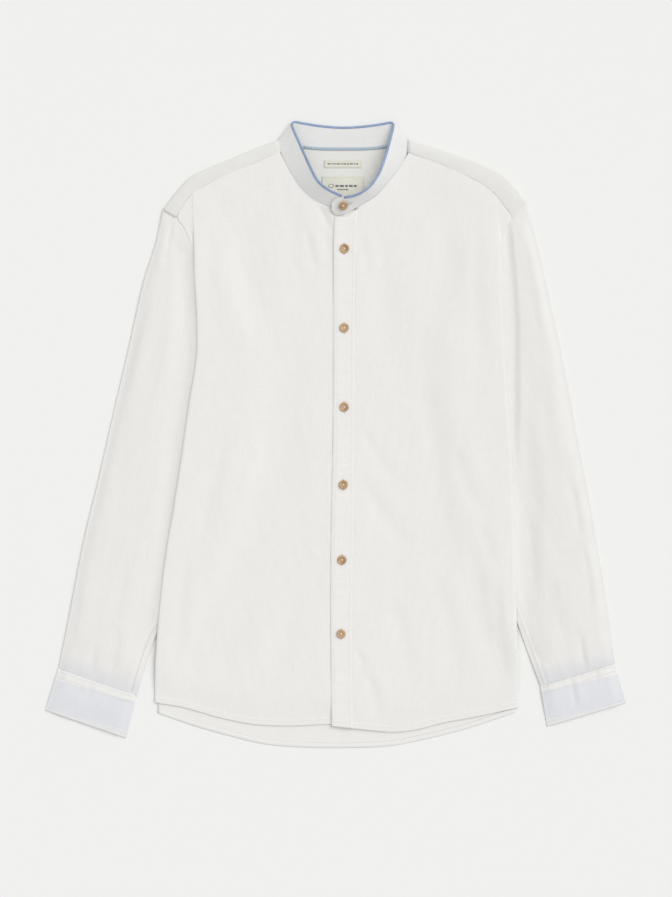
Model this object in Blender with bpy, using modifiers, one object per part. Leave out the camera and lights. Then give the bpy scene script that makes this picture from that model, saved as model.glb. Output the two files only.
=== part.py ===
"""A band-collar shirt in light cloth, laid flat on its back with both sleeves folded down beside the body.

The frame: X runs towards the wearer's left, Y towards the collar, Z up from the table. The origin is on the
table, on the centre-front line, halfway down the back panel. "right" and "left" are the wearer's own sides, so
right is at -X. Lengths in the tables are millimetres. The cloth lies in layers: each tucked sleeve is on the
table, the back panel passes over it, and the two fronts lie on the back panel.
"""
import math

import bmesh
import bpy
import numpy as np

MM = 0.001                    # the tables are in millimetres, Blender works in metres
OBJECT_NAME = "mandarin_collar_shirt"

CLOTH = 1.0                   # wall of the body, yoke and sleeve cloth
SEAM = 0.3                    # clearance between neighbouring pieces
NECK_GAP = 1.05               # clearance of a front's faceted edge from the curved neck seam
YOKE_GAP = 0.55               # the same at the yoke seam
FOLD_CORNER_GAP = 2.3         # more where the side fold meets the yoke seam
PLACKET_WALL = 1.2
CUFF_WALL = 1.4
COLLAR_WALL = 1.6
TRIM_WALL = 1.0               # neck tape and woven labels

TUCKED_SLEEVE = 3.0           # height of a sleeve where the body lies on it
OPEN_SLEEVE = 6.4             # height of a sleeve where nothing lies on it
CUFF_HEIGHT = 5.4
SEAM_LEVEL = 5.0              # upper face of the cloth along the yoke and neck seams
ARMHOLE_LEVEL = 4.6           # upper face of the cloth along the armhole seam
LOFT = 2.0                    # air between back and front at the middle of the body
FOLD = 3.0                    # thickness over both layers of a side fold
SIDE_TUCK = 16.0              # how far the side of a front turns under at its fold
YOKE_BACK_SEAM = 265.0        # the seam between yoke and back panel, across the shoulder blades
BACK_CLEAR = 2.6              # the back panel stops this far inside the fold of the front
RAMP = 42.0                   # width over which the back panel climbs onto a tucked sleeve
RAMP_END = 12.0               # it is up this far before the sleeve's underarm fold
HEM_CROWD = 1.35              # rows of the long panels stand this much closer towards the yoke

BUTTON_RADIUS = 5.8
BUTTON_HEIGHT = 2.6
BINDING_WIDTH = 2.8           # the bound upper edge of the collar band
BINDING_GAP = 0.5
CORNER_GAP = 0.9              # more clearance where the band turns sharply beside the neck
TAPE_WIDTH = 3.4

# The side folds of the body.      y      right   left
SIDE_FOLDS = [                  (310.0, -191.0, 188.5),
                                (248.0, -188.0, 197.5),
                                (200.0, -187.0, 198.0),
                                (145.0, -184.0, 201.0),
                                (100.0, -184.5, 203.5),
                                (38.0, -194.0, 207.0),
                                (-33.0, -204.0, 212.0),
                                (-90.0, -213.0, 214.0),
                                (-155.0, -223.5, 216.0),
                                (-240.0, -233.0, 218.5),
                                (-300.0, -237.0, 220.6),
                                (-355.0, -238.0, 221.0)]

# The two long edges of the placket.   y      right  left
PLACKET = [                         (290.0, -9.5, 19.2),
                                    (260.0, -11.5, 17.6),
                                    (208.0, -11.9, 16.6),
                                    (-8.0, -12.8, 14.6),
                                    (-150.0, -15.5, 13.9),
                                    (-250.0, -15.6, 11.6),
                                    (-372.0, -14.4, 12.6)]

# Hems: x, y. The fronts end higher than the curved shirt-tail of the back.
HEM_RIGHT = [(-240.0, -340.5), (-202.0, -347.3), (-159.0, -359.4), (-115.0, -368.3), (-70.0, -370.5),
             (-15.0, -368.4), (16.0, -368.6)]
HEM_LEFT = [(-16.0, -370.8), (34.0, -375.9), (64.0, -378.3), (92.0, -375.5), (122.0, -367.7),
            (166.0, -359.4), (224.0, -346.8)]
HEM_BACK = [(-240.0, -353.0), (-188.0, -370.8), (-143.0, -383.6), (-100.0, -393.6), (-50.0, -397.8),
            (0.0, -398.4), (60.0, -396.0), (108.0, -386.7), (151.0, -376.0), (222.0, -352.6)]

# The neck seam of each front, from the shoulder to the centre: x, y.
NECK_RIGHT = [(-80.6, 357.6), (-69.8, 336.6), (-57.1, 316.2), (-43.2, 301.6), (-27.9, 292.1), (-13.0, 286.0),
              (0.0, 283.5), (20.0, 283.0)]
NECK_LEFT = [(17.0, 286.5), (26.7, 292.1), (43.2, 303.0), (57.1, 318.1), (69.8, 334.6), (83.6, 356.6)]
NECK_BACK = [(-84.0, 373.0), (-56.0, 364.8), (0.0, 361.2), (56.0, 364.8), (84.0, 373.0)]

# The yoke, a row from neck to armhole: the shoulder fold, the front seam and the seam with the back panel.
#                shoulder_x  shoulder_y  front_x  front_y  back_x
YOKE_RIGHT = [(-83.6, 372.9, -80.6, 357.6, -80.0),
              (-111.8, 362.0, -106.5, 346.6, -108.0),
              (-143.5, 348.6, -137.0, 333.6, -138.0),
              (-176.5, 335.3, -168.0, 319.0, -166.0),
              (-195.6, 324.0, -189.5, 306.8, -182.0),
              (-212.0, 306.0, -202.5, 291.5, -194.0),
              (-227.5, 285.6, -212.0, 276.4, -199.0)]
YOKE_LEFT = [(83.2, 372.9, 83.8, 357.0, 80.0),
             (120.7, 362.2, 118.0, 345.2, 112.0),
             (153.7, 350.6, 148.5, 331.4, 142.0),
             (179.1, 340.4, 172.0, 319.6, 168.0),
             (201.9, 328.9, 189.5, 308.0, 184.0),
             (217.9, 312.4, 203.5, 291.5, 196.0),
             (232.0, 294.0, 215.6, 274.6, 206.0)]

# How far the cloth of a front goes on beyond its side fold, outwards to the armhole seam (+) or turned
# under towards the side seam (-):   y      right   left
FRONT_TAILS = [                   (306.0, 0.0, 0.0),
                                  (291.0, 10.6, 11.6),
                                  (275.5, 19.6, 19.0),
                                  (262.0, 11.5, 9.0),
                                  (248.0, 5.0, 3.0),
                                  (236.0, 0.6, 0.6),
                                  (215.0, -8.0, -8.0),
                                  (190.0, -SIDE_TUCK, -SIDE_TUCK),
                                  (-400.0, -SIDE_TUCK, -SIDE_TUCK)]

# The sleeves, a row for each section from armhole to cuff seam: outer fold, underarm fold, and how far the
# middle of the section bows towards the shoulder.
#                outer_x  outer_y  inner_x  inner_y  bow
SLEEVE_RIGHT = [(-228.9, 284.2, -180.0, 218.0, 7.4),
                (-238.5, 240.0, -158.0, 170.0, 5.0),
                (-254.0, 190.0, -141.0, 128.0, 1.5),
                (-273.6, 103.0, -136.0, 75.0, 0.0),
                (-293.4, 18.0, -148.0, -5.0, 0.0),
                (-311.0, -60.0, -165.0, -85.0, 0.0),
                (-327.0, -125.0, -187.0, -150.0, 0.0),
                (-341.0, -195.0, -217.0, -222.0, 0.0),
                (-350.5, -245.0, -240.6, -264.0, 0.0),
                (-361.4, -297.2, -261.5, -331.2, 0.0)]
SLEEVE_LEFT = [(233.4, 292.6, 182.0, 218.0, 3.8),
               (244.0, 252.0, 160.0, 170.0, 2.5),
               (256.5, 199.0, 148.0, 130.0, 0.5),
               (277.5, 104.0, 150.0, 80.0, 0.0),
               (293.5, 20.0, 158.0, 0.0, 0.0),
               (308.5, -60.0, 170.0, -80.0, 0.0),
               (320.2, -124.0, 190.0, -145.0, 0.0),
               (332.0, -195.0, 211.0, -213.0, 0.0),
               (339.6, -245.0, 226.8, -256.0, 0.0),
               (345.2, -290.4, 250.2, -319.8, 0.0)]

# The cuffs: the same columns, at the sleeve seam and at the open end.
CUFF_RIGHT = [(-361.6, -297.8, -262.0, -331.8, 0.0),
              (-378.2, -350.5, -275.4, -386.1, 0.0)]
CUFF_LEFT = [(345.4, -291.0, 250.0, -320.4, 0.0),
             (359.0, -341.6, 259.0, -371.5, 0.0)]

# The collar band, a row for each section from its under end at the wearer's right, round the back of the neck,
# to its buttoned end at the wearer's left: the seam edge and the upper edge of its outer face.
#            base_x  base_y  base_z  top_x  top_y  top_z
COLLAR = [(-2.5, 284.6, 5.0, -1.2, 302.0, 14.6),
          (-15.0, 287.0, 5.0, -8.6, 304.6, 17.2),
          (-28.2, 292.4, 5.0, -18.0, 309.0, 19.6),
          (-43.2, 301.6, 5.0, -28.8, 317.0, 20.6),
          (-57.1, 316.2, 5.0, -36.8, 329.5, 19.6),
          (-69.8, 336.6, 5.0, -47.2, 352.5, 15.6),
          (-77.5, 353.0, 4.8, -55.8, 372.0, 13.4),
          (-81.6, 365.6, 4.6, -61.8, 385.6, 11.2),
          (-82.2, 373.2, 2.8, -64.2, 394.6, 7.0),
          (-75.0, 371.0, 0.7, -60.4, 397.2, 2.2),
          (-55.0, 366.2, 0.5, -50.0, 395.4, 1.4),
          (-28.0, 363.6, 0.3, -26.0, 391.8, 1.0),
          (0.0, 362.6, 0.3, 0.0, 390.0, 0.9),
          (28.0, 363.6, 0.3, 26.0, 391.4, 1.0),
          (55.0, 366.2, 0.5, 49.5, 394.6, 1.4),
          (74.0, 371.0, 0.7, 59.6, 396.4, 2.2),
          (81.8, 373.2, 2.8, 63.4, 393.8, 7.0),
          (82.6, 365.6, 4.6, 61.4, 383.0, 11.8),
          (79.5, 351.5, 4.8, 57.4, 367.5, 15.4),
          (70.4, 335.4, 5.0, 52.4, 349.0, 20.4),
          (57.4, 318.6, 5.0, 45.6, 330.0, 24.4),
          (43.4, 303.4, 5.0, 35.4, 313.8, 26.2),
          (27.0, 292.4, 5.2, 23.4, 304.4, 25.8),
          (13.5, 284.4, 6.2, 12.2, 300.6, 23.0),
          (2.0, 278.4, 6.8, 2.0, 299.6, 19.2),
          (-9.2, 277.4, 7.0, -9.4, 296.4, 16.8),
          (-14.2, 282.6, 10.0, -14.4, 291.6, 14.6)]
BAND_STEP = 26.0 / 71.0          # spacing of the built sections, in rows of the table above
BAND_CORNERS = (8.0, 16.0)       # the rows where it turns from the back of the neck to the front
BINDING_STEPS = 66               # the upper edge is bound over this many spacings, from the first section

# Labels on the inside of the yoke: centre_y, width, height.
LABELS = {"label_small": (342.9, 48.0, 10.2),
          "label_large": (310.5, 54.0, 33.0)}

# The front buttons, from the top: x, y. The first is on the collar band.
COLLAR_BUTTON = (0.4, 288.6)
FRONT_BUTTONS = [(1.7, 235.0), (1.5, 134.6), (1.5, 34.3), (0.4, -64.4), (-1.3, -159.6), (-2.4, -253.4)]

# Colours are linear red, green, blue, with the roughness of each surface.
WHITE_CLOTH = ((0.82, 0.81, 0.79), 0.85)
PLACKET_CLOTH = ((0.86, 0.85, 0.83), 0.85)
CUFF_CLOTH = ((0.74, 0.76, 0.81), 0.85)
BLUE_BINDING = ((0.24, 0.34, 0.52), 0.8)
BLUE_TAPE = ((0.42, 0.55, 0.70), 0.8)
CREAM_LABEL = ((0.80, 0.80, 0.70), 0.8)
BROWN_BUTTON = ((0.45, 0.27, 0.14), 0.35)


def smoothstep(low, high, value):
    """0 at low, 1 at high, eased at both ends. low may be the larger."""
    t = min(1.0, max(0.0, (value - low) / (high - low)))
    return t * t * (3.0 - 2.0 * t)


def spline(pairs):
    """A smooth function through (position, value) pairs, held level beyond its ends."""
    ordered = sorted(pairs)
    at = np.array([p[0] for p in ordered])
    value = np.array([p[1] for p in ordered])
    slope = np.gradient(value, at)

    def evaluate(position):
        p = min(max(position, at[0]), at[-1])
        i = min(int(np.searchsorted(at, p, side="right")) - 1, len(at) - 2)
        span = at[i + 1] - at[i]
        t = (p - at[i]) / span
        rise = (value[i + 1] - value[i]) * t * t * (3.0 - 2.0 * t)
        lean = slope[i] * t * (1.0 - t) ** 2 - slope[i + 1] * t * t * (1.0 - t)
        return float(value[i] + rise + span * lean)

    return evaluate


def sections(table, count, first=0.0, last=None):
    """Rows of a table read at count even steps from row first to row last, smoothly between its own rows."""
    last = len(table) - 1 if last is None else last
    columns = [spline(list(enumerate(column))) for column in zip(*table)]
    steps = [first + (last - first) * i / (count - 1) for i in range(count)]
    return [[column(step) for column in columns] for step in steps]


def column_of(table, index):
    return spline([(row[0], row[index]) for row in table])


fold_x = {-1: column_of(SIDE_FOLDS, 1), 1: column_of(SIDE_FOLDS, 2)}
tail_at = {-1: column_of(FRONT_TAILS, 1), 1: column_of(FRONT_TAILS, 2)}
placket_x = {-1: column_of(PLACKET, 1), 1: column_of(PLACKET, 2)}
hem_y = {-1: spline(HEM_RIGHT), 1: spline(HEM_LEFT)}
hem_back_y = spline(HEM_BACK)
neck_y = {-1: spline(NECK_RIGHT), 1: spline(NECK_LEFT)}
neck_back_y = spline(NECK_BACK)
yoke_rows = {-1: YOKE_RIGHT, 1: YOKE_LEFT}
sleeve_rows = {-1: SLEEVE_RIGHT, 1: SLEEVE_LEFT}
yoke_seam_y = {side: spline([(row[2], row[3]) for row in rows]) for side, rows in yoke_rows.items()}
underarm_x = {side: spline([(row[3], row[2]) for row in rows]) for side, rows in sleeve_rows.items()}


# ---- heights of the layers ----------------------------------------------------------------------------------

def back_under(x, y):
    """Height of the back panel's underside: on the table, or over a tucked sleeve."""
    side = 1 if x > 0 else -1
    inside = abs(underarm_x[side](y)) - abs(x)
    onto_sleeve = smoothstep(RAMP + RAMP_END, RAMP_END, inside)
    below_yoke = smoothstep(268.0, 247.0, y)
    above_exit = smoothstep(-335.0, -262.0, y)
    return (TUCKED_SLEEVE + SEAM) * onto_sleeve * below_yoke * above_exit


def front_over(x, y, side):
    """Height of a front's upper face between the placket and the side fold."""
    inset = abs(fold_x[side](y)) - abs(x)
    near_fold = smoothstep(40.0, 4.0, inset)
    loft = LOFT + (FOLD - CLOTH + SEAM - LOFT) * near_fold
    loft += 1.0 * smoothstep(70.0, 5.0, abs(x)) * (side > 0)
    height = back_under(x, y) + CLOTH + loft + CLOTH
    height += 1.6 * near_fold * smoothstep(200.0, 262.0, y)
    seam_y = neck_y[side](x) if abs(x) < abs(yoke_rows[side][0][2]) else yoke_seam_y[side](x)
    near_seam = smoothstep(60.0, 0.0, seam_y - y)
    return height + (SEAM_LEVEL - height) * near_seam


# ---- making objects -----------------------------------------------------------------------------------------

def clear_scene():
    for old in list(bpy.data.objects):
        bpy.data.objects.remove(old, do_unlink=True)


def make_collection():
    collection = bpy.data.collections.new(OBJECT_NAME)
    bpy.context.scene.collection.children.link(collection)
    return collection


def material(name, finish):
    colour, roughness = finish
    made = bpy.data.materials.new(name)
    made.use_nodes = True
    shader = made.node_tree.nodes["Principled BSDF"]
    shader.inputs["Base Color"].default_value = (*colour, 1.0)
    shader.inputs["Roughness"].default_value = roughness
    shader.inputs["Metallic"].default_value = 0.0
    return made


def sheet(collection, name, grids, wall, finish, closed=False, even=True):
    """One cloth piece: grids of outer-face points, in millimetres, thickened inwards.

    Each grid is a list of lines of (x, y, z). Lines that share points are joined. With closed, every line is
    a ring. even keeps the wall's full thickness at corners. The outer side is the one that the cross product
    of the direction along a line and the direction from line to line points to.
    """
    shape = bmesh.new()
    for grid in grids:
        lines = [[shape.verts.new([c * MM for c in point]) for point in line] for line in grid]
        for near, far in zip(lines[:-1], lines[1:]):
            count = len(near)
            for i in range(count if closed else count - 1):
                j = (i + 1) % count
                shape.faces.new((near[i], near[j], far[j], far[i]))
    bmesh.ops.remove_doubles(shape, verts=shape.verts, dist=0.01 * MM)
    mesh = bpy.data.meshes.new(name)
    shape.to_mesh(mesh)
    shape.free()
    mesh.shade_smooth()
    piece = bpy.data.objects.new(name, mesh)
    collection.objects.link(piece)
    mesh.materials.append(material(name + "_finish", finish))
    thick = piece.modifiers.new("wall", "SOLIDIFY")
    thick.thickness = wall * MM
    thick.offset = -1.0
    thick.use_even_offset = even
    thick.use_rim = True
    return piece


# ---- the panels ---------------------------------------------------------------------------------------------

def steps(count, crowd=1.0):
    """count values from 0 to 1, closer together towards 1 when crowd is more than 1."""
    return [1.0 - (1.0 - i / (count - 1)) ** crowd for i in range(count)]


def make_back(collection):
    """The back panel, from the yoke seam to the shirt-tail. Its outer side is down, on the table."""
    columns = 19
    rows = 18
    grid = []
    for u in range(columns):
        across = -1.0 + 2.0 * u / (columns - 1)
        side = 1 if across > 0 else -1

        def x_at(y):
            edge = abs(fold_x[side](y)) - BACK_CLEAR
            at_armhole = abs(yoke_rows[side][-1][4]) - 1.4 - 0.62 * (YOKE_BACK_SEAM - y)
            return across * (edge + max(0.0, at_armhole - edge) * smoothstep(243.0, 250.0, y))

        hem = hem_back_y(x_at(-350.0))
        line = []
        for v in steps(rows, HEM_CROWD):
            y = hem + (YOKE_BACK_SEAM - SEAM - hem) * v
            x = x_at(y)
            line.append((x, y, back_under(x, y)))
        grid.append(line)
    sheet(collection, "back", [grid], CLOTH, WHITE_CLOTH)


def fold_profile(side, y, x, z):
    """The rest of a front's section beyond its side fold: over the fold, then to the tail's end."""
    tail = tail_at[side](y)
    turned = smoothstep(2.0, -6.0, tail)
    half = 0.5 * FOLD * (1.0 - 0.8 * smoothstep(280.0, 304.0, y))
    low = z - FOLD
    if y > 225.0:
        low = ARMHOLE_LEVEL + (low - ARMHOLE_LEVEL) * turned
    reach = side * max(0.0, tail)
    tuck = side * min(0.0, tail)
    drop = z - low
    return [(x + side * half * 0.75, y, z - 0.2 * drop),
            (x + side * half, y, z - 0.5 * drop),
            (x + side * half * 0.8 + 0.25 * reach, y, z - (0.85 + 0.15 * (1 - turned)) * drop),
            (x + side * 0.2 * half + 0.6 * reach + 0.3 * tuck, y, low),
            (x + reach + tuck, y, low)]


def make_front(collection, side):
    """One front, from its centre edge to its side fold and the tail beyond the fold."""
    name = "front_left" if side > 0 else "front_right"
    neck_corner = abs(yoke_rows[side][0][2])
    rows = 20
    inner_columns = 6 if side > 0 else 8
    outer_columns = 6
    if side > 0:
        def centre_x(y):
            return placket_x[1](y) + SEAM
    else:
        def centre_x(y):
            return placket_x[1](y) - 2.0

    def x_at(u, y):
        return centre_x(y) + u * (fold_x[side](y) - centre_x(y))

    neck_share = (side * neck_corner - centre_x(300.0)) / (fold_x[side](306.0) - centre_x(300.0))
    shares = [neck_share * i / (inner_columns - 1) for i in range(inner_columns)]
    shares += [neck_share + (1.0 - neck_share) * (i + 1) / outer_columns for i in range(outer_columns)]
    grid = []
    for u in shares:
        top = 300.0
        for _ in range(30):
            x = x_at(u, top)
            if u <= neck_share + 1e-9:
                wanted = neck_y[side](x) - NECK_GAP
            else:
                wanted = yoke_seam_y[side](x) - YOKE_GAP - FOLD_CORNER_GAP * smoothstep(0.88, 1.0, u)
            top += 0.5 * (wanted - top)
        hem = hem_y[side](x_at(u, -350.0))
        line = []
        for v in steps(rows, HEM_CROWD):
            y = hem + (top - hem) * v
            x = x_at(u, y)
            line.append((x, y, front_over(x, y, side)))
        grid.append(line)
    folds = [fold_profile(side, y, x, z) for x, y, z in grid[-1]]
    grid += [list(line) for line in zip(*folds)]
    if side > 0:
        grid.reverse()
    sheet(collection, name, [grid], CLOTH, WHITE_CLOTH)


def placket_over(x, y):
    """Height of the placket's upper face: it lies on the wearer's right front."""
    return front_over(min(x, 0.0), y, -1) + SEAM + PLACKET_WALL


def make_placket(collection):
    rows = 18
    columns = 4
    grid = []
    for u in range(columns):
        share = u / (columns - 1)
        line = []
        top = 275.6 + 9.0 * smoothstep(0.45, 1.0, share)
        bottom = hem_y[1](-14.0 + 27.0 * share)
        for v in range(rows):
            y = bottom + (top - bottom) * v / (rows - 1)
            x = placket_x[-1](y) + share * (placket_x[1](y) - placket_x[-1](y))
            line.append((x, y, placket_over(x, y)))
        grid.append(line)
    grid.reverse()
    sheet(collection, "placket", [grid], PLACKET_WALL, PLACKET_CLOTH)


# ---- the yoke -----------------------------------------------------------------------------------------------

def yoke_back_line(shoulder, back, neck=False):
    """From the back seam to the shoulder fold, or to the neckline, on the table."""
    count = 5
    stop = 1.0 if neck else 1.0 - 2.4 / max(10.0, shoulder[1] - back[1])
    line = []
    for i in range(count):
        t = stop * i / (count - 1)
        line.append((back[0] + (shoulder[0] - back[0]) * t, back[1] + (shoulder[1] - back[1]) * t, 0.0))
    return line


def yoke_front_line(shoulder, front, back, level):
    """From the back side of the shoulder fold, over it, to the front seam."""
    start = yoke_back_line(shoulder, back)[-1]
    line = [start, (shoulder[0], shoulder[1], 0.5 * level)]
    reach = math.hypot(front[0] - shoulder[0], front[1] - shoulder[1])
    for share in (2.4 / reach, 0.5, 1.0):
        line.append((shoulder[0] + (front[0] - shoulder[0]) * share,
                     shoulder[1] + (front[1] - shoulder[1]) * share,
                     level))
    return line


def make_yoke(collection):
    """The yoke: flat under the shoulders, folded over each shoulder to the seam with the front."""
    count = 9
    lines_back = []
    flaps = []
    for side in (-1, 1):
        backs = []
        flap = []
        for i, row in enumerate(sections(yoke_rows[side], count)):
            shoulder, front, back = (row[0], row[1]), (row[2], row[3]), (row[4], YOKE_BACK_SEAM)
            to_armhole = i / (count - 1)
            level = SEAM_LEVEL + (ARMHOLE_LEVEL - SEAM_LEVEL) * to_armhole
            backs.append(yoke_back_line(shoulder, back))
            flap.append(yoke_front_line(shoulder, front, back, level))
        flap.sort(key=lambda line: line[0][0])
        backs.sort(key=lambda line: line[0][0])
        flaps.append(flap)
        lines_back.append(backs)
    neck_columns = 8
    left_end, right_end = lines_back[1][0], lines_back[0][-1]
    middle = [right_end]
    for i in range(1, neck_columns):
        x = right_end[-1][0] + (left_end[-1][0] - right_end[-1][0]) * i / neck_columns
        x_low = right_end[0][0] + (left_end[0][0] - right_end[0][0]) * i / neck_columns
        middle.append(yoke_back_line((x, neck_back_y(x) - SEAM), (x_low, YOKE_BACK_SEAM), neck=True))
    middle.append(left_end)
    sheet(collection, "yoke", [lines_back[0], middle, lines_back[1]] + flaps, CLOTH, WHITE_CLOTH)


# ---- sleeves and cuffs --------------------------------------------------------------------------------------

def sleeve_height(x, y, side, along):
    """Height of a sleeve's upper face: low where the body lies on it, fuller outside the side fold."""
    outside = abs(x) - abs(fold_x[side](y))
    below_exit = smoothstep(-268.0, -300.0, y)
    free = max(smoothstep(10.0, 34.0, outside), below_exit)
    full = ARMHOLE_LEVEL + (OPEN_SLEEVE - ARMHOLE_LEVEL) * smoothstep(0.0, 0.12, along)
    full += (CUFF_HEIGHT - full) * smoothstep(0.9, 1.0, along)
    shoulder = smoothstep(246.0, 266.0, y)
    low = TUCKED_SLEEVE + (ARMHOLE_LEVEL - TUCKED_SLEEVE) * shoulder
    return low + (full - low) * free


def tube_ring(row, side, along, height_of):
    """One flattened ring of a sleeve or cuff: flat on the table, round at both folds."""
    outer, inner, bow = np.array(row[0:2]), np.array(row[2:4]), row[4]
    across = inner - outer
    width = float(np.hypot(*across))
    normal = np.array((across[1], -across[0])) / width * side
    flat_points = 9

    def plan(share):
        return outer + across * share + normal * bow * math.sin(math.pi * max(0.0, share) ** 0.7)

    ends = [height_of(*plan(share), side, along) for share in (0.02, 0.98)]
    shares = [0.5 * ends[0] / width + (1.0 - 0.5 * (ends[0] + ends[1]) / width) * i / (flat_points - 1)
              for i in range(flat_points)]
    ring = [(*plan(share), 0.0) for share in shares]
    ring += [(*plan(1.0 - 0.15 * ends[1] / width), 0.15 * ends[1]),
             (*plan(1.0), 0.5 * ends[1]),
             (*plan(1.0 - 0.15 * ends[1] / width), 0.85 * ends[1])]
    ring += [(*plan(share), height_of(*plan(share), side, along)) for share in reversed(shares)]
    ring += [(*plan(0.15 * ends[0] / width), 0.85 * ends[0]),
             (*plan(0.0), 0.5 * ends[0]),
             (*plan(0.15 * ends[0] / width), 0.15 * ends[0])]
    return ring


def make_tube(collection, name, side, table, count, wall, finish, height_of):
    rings = []
    for i, row in enumerate(sections(table, count)):
        rings.append(tube_ring(row, side, i / (count - 1), height_of))
    if side > 0:
        rings.reverse()
    sheet(collection, name, [rings], wall, finish, closed=True, even=False)


def make_sleeves(collection):
    for side, label in ((-1, "right"), (1, "left")):
        make_tube(collection, "sleeve_" + label, side, sleeve_rows[side], 13, CLOTH, WHITE_CLOTH, sleeve_height)


def make_cuffs(collection):
    for side, label, table in ((-1, "right", CUFF_RIGHT), (1, "left", CUFF_LEFT)):
        make_tube(collection, "cuff_" + label, side, table, 3, CUFF_WALL, CUFF_CLOTH,
                  lambda x, y, s, along: CUFF_HEIGHT)


# ---- the collar ---------------------------------------------------------------------------------------------

def band_line(last, height_of):
    """A line along the outer face of the band. height_of gives its height above the seam from the full height."""
    count = int(round(last / BAND_STEP)) + 1
    line = []
    for i, row in enumerate(sections(COLLAR, count, 0.0, last)):
        base, top = np.array(row[0:3]), np.array(row[3:6])
        full = float(np.linalg.norm(top - base))
        line.append(tuple(base + (top - base) * height_of(full, BAND_STEP * i) / full))
    return line


def make_collar(collection):
    """The stand-up band, and the binding over its upper edge."""
    last = BINDING_STEPS * BAND_STEP

    def band_stop(full, section):
        if section > last + 1e-6:
            return full
        at_corner = max(smoothstep(2.4, 0.6, abs(section - corner)) for corner in BAND_CORNERS)
        return full - BINDING_WIDTH - BINDING_GAP - CORNER_GAP * at_corner

    end = len(COLLAR) - 1.0
    band = [band_line(end, lambda full, section, share=share: band_stop(full, section) * share)
            for share in (1.0, 0.5, 0.0)]
    sheet(collection, "collar_band", [band], COLLAR_WALL, WHITE_CLOTH, even=False)
    binding = [band_line(last, lambda full, section: full),
               band_line(last, lambda full, section: full - BINDING_WIDTH)]
    sheet(collection, "collar_binding", [binding], COLLAR_WALL, BLUE_BINDING, even=False)


def make_neck_tape(collection):
    """The tape sewn over the back neck seam, on the yoke and the inside of the band."""
    level = COLLAR_WALL + SEAM + TRIM_WALL + 0.1
    low, high = [], []
    count = 15
    for i in range(count):
        x = -60.0 + 120.0 * i / (count - 1)
        y = neck_back_y(x) + 0.8
        z = level + 0.5 * smoothstep(40.0, 60.0, abs(x))
        low.append((x, y - 0.5 * TAPE_WIDTH, z))
        high.append((x, y + 0.5 * TAPE_WIDTH, z))
    sheet(collection, "neck_tape", [[high, low][::-1]], TRIM_WALL, BLUE_TAPE)


def make_labels(collection):
    """Two woven labels on the inside of the yoke."""
    level = CLOTH + SEAM + TRIM_WALL
    for name, (centre_y, width, height) in LABELS.items():
        low = [(x * width, centre_y - 0.5 * height, level) for x in (-0.5, 0.0, 0.5)]
        high = [(x * width, centre_y + 0.5 * height, level) for x in (-0.5, 0.0, 0.5)]
        sheet(collection, name, [[low, high]], TRIM_WALL, CREAM_LABEL)


# ---- the buttons --------------------------------------------------------------------------------------------

def make_button(collection, name, centre, tilt):
    """A turned button with a rounded rim and a dished face. centre is the middle of its flat underside."""
    radius, height = BUTTON_RADIUS, BUTTON_HEIGHT
    profile = [(0.0, 0.62 * height), (0.42 * radius, 0.64 * height), (0.60 * radius, 0.84 * height),
               (0.74 * radius, height), (0.90 * radius, 0.92 * height), (radius, 0.62 * height),
               (0.96 * radius, 0.28 * height), (0.78 * radius, 0.0), (0.0, 0.0)]
    mesh = bpy.data.meshes.new(name)
    mesh.from_pydata([(r * MM, 0.0, z * MM) for r, z in profile],
                     [(i, i + 1) for i in range(len(profile) - 1)], [])
    piece = bpy.data.objects.new(name, mesh)
    collection.objects.link(piece)
    mesh.materials.append(material(name + "_finish", BROWN_BUTTON))
    turn = piece.modifiers.new("turn", "SCREW")
    turn.axis = "Z"
    turn.steps = 20
    turn.render_steps = 20
    turn.use_merge_vertices = True
    turn.merge_threshold = 0.00001
    turn.use_smooth_shade = True
    piece.location = [c * MM for c in centre]
    piece.rotation_euler = (tilt, 0.0, 0.0)


def make_buttons(collection):
    x, y = COLLAR_BUTTON
    make_button(collection, "button_1", (x, y, 15.9), math.radians(24.0))
    for i, (x, y) in enumerate(FRONT_BUTTONS):
        z = max(placket_over(x, y + dy) for dy in (-BUTTON_RADIUS, 0.0, BUTTON_RADIUS)) + SEAM
        make_button(collection, "button_%d" % (i + 2), (x, y, z), 0.0)


def main():
    clear_scene()
    collection = make_collection()
    make_back(collection)
    make_yoke(collection)
    make_front(collection, -1)
    make_front(collection, 1)
    make_placket(collection)
    make_sleeves(collection)
    make_cuffs(collection)
    make_collar(collection)
    make_neck_tape(collection)
    make_labels(collection)
    make_buttons(collection)


main()
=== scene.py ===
"""The looks of a band-collar shirt laid flat: cloth shells, creases, stitches, buttons, light and camera.

Lengths in the tables are millimetres, in the frame of the model: X towards the wearer's left, Y towards the
collar, Z up from the table. "right" and "left" are the wearer's own sides, so right is at -X.
"""

import math

import bmesh
import bpy
import numpy as np
from mathutils import Matrix, Vector, noise


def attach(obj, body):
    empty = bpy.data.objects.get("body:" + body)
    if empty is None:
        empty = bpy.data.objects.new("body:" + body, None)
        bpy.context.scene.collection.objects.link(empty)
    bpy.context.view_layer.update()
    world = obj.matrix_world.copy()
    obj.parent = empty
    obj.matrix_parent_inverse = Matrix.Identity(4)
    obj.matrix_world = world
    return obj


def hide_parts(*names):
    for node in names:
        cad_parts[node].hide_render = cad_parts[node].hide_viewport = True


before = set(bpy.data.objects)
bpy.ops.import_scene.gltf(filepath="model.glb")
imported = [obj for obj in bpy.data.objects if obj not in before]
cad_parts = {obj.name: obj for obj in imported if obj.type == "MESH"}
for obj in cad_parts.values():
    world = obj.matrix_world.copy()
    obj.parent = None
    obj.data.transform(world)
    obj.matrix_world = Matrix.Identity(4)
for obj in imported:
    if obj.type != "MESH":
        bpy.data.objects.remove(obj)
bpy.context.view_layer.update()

MM = 0.001
BODY = "root"

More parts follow.
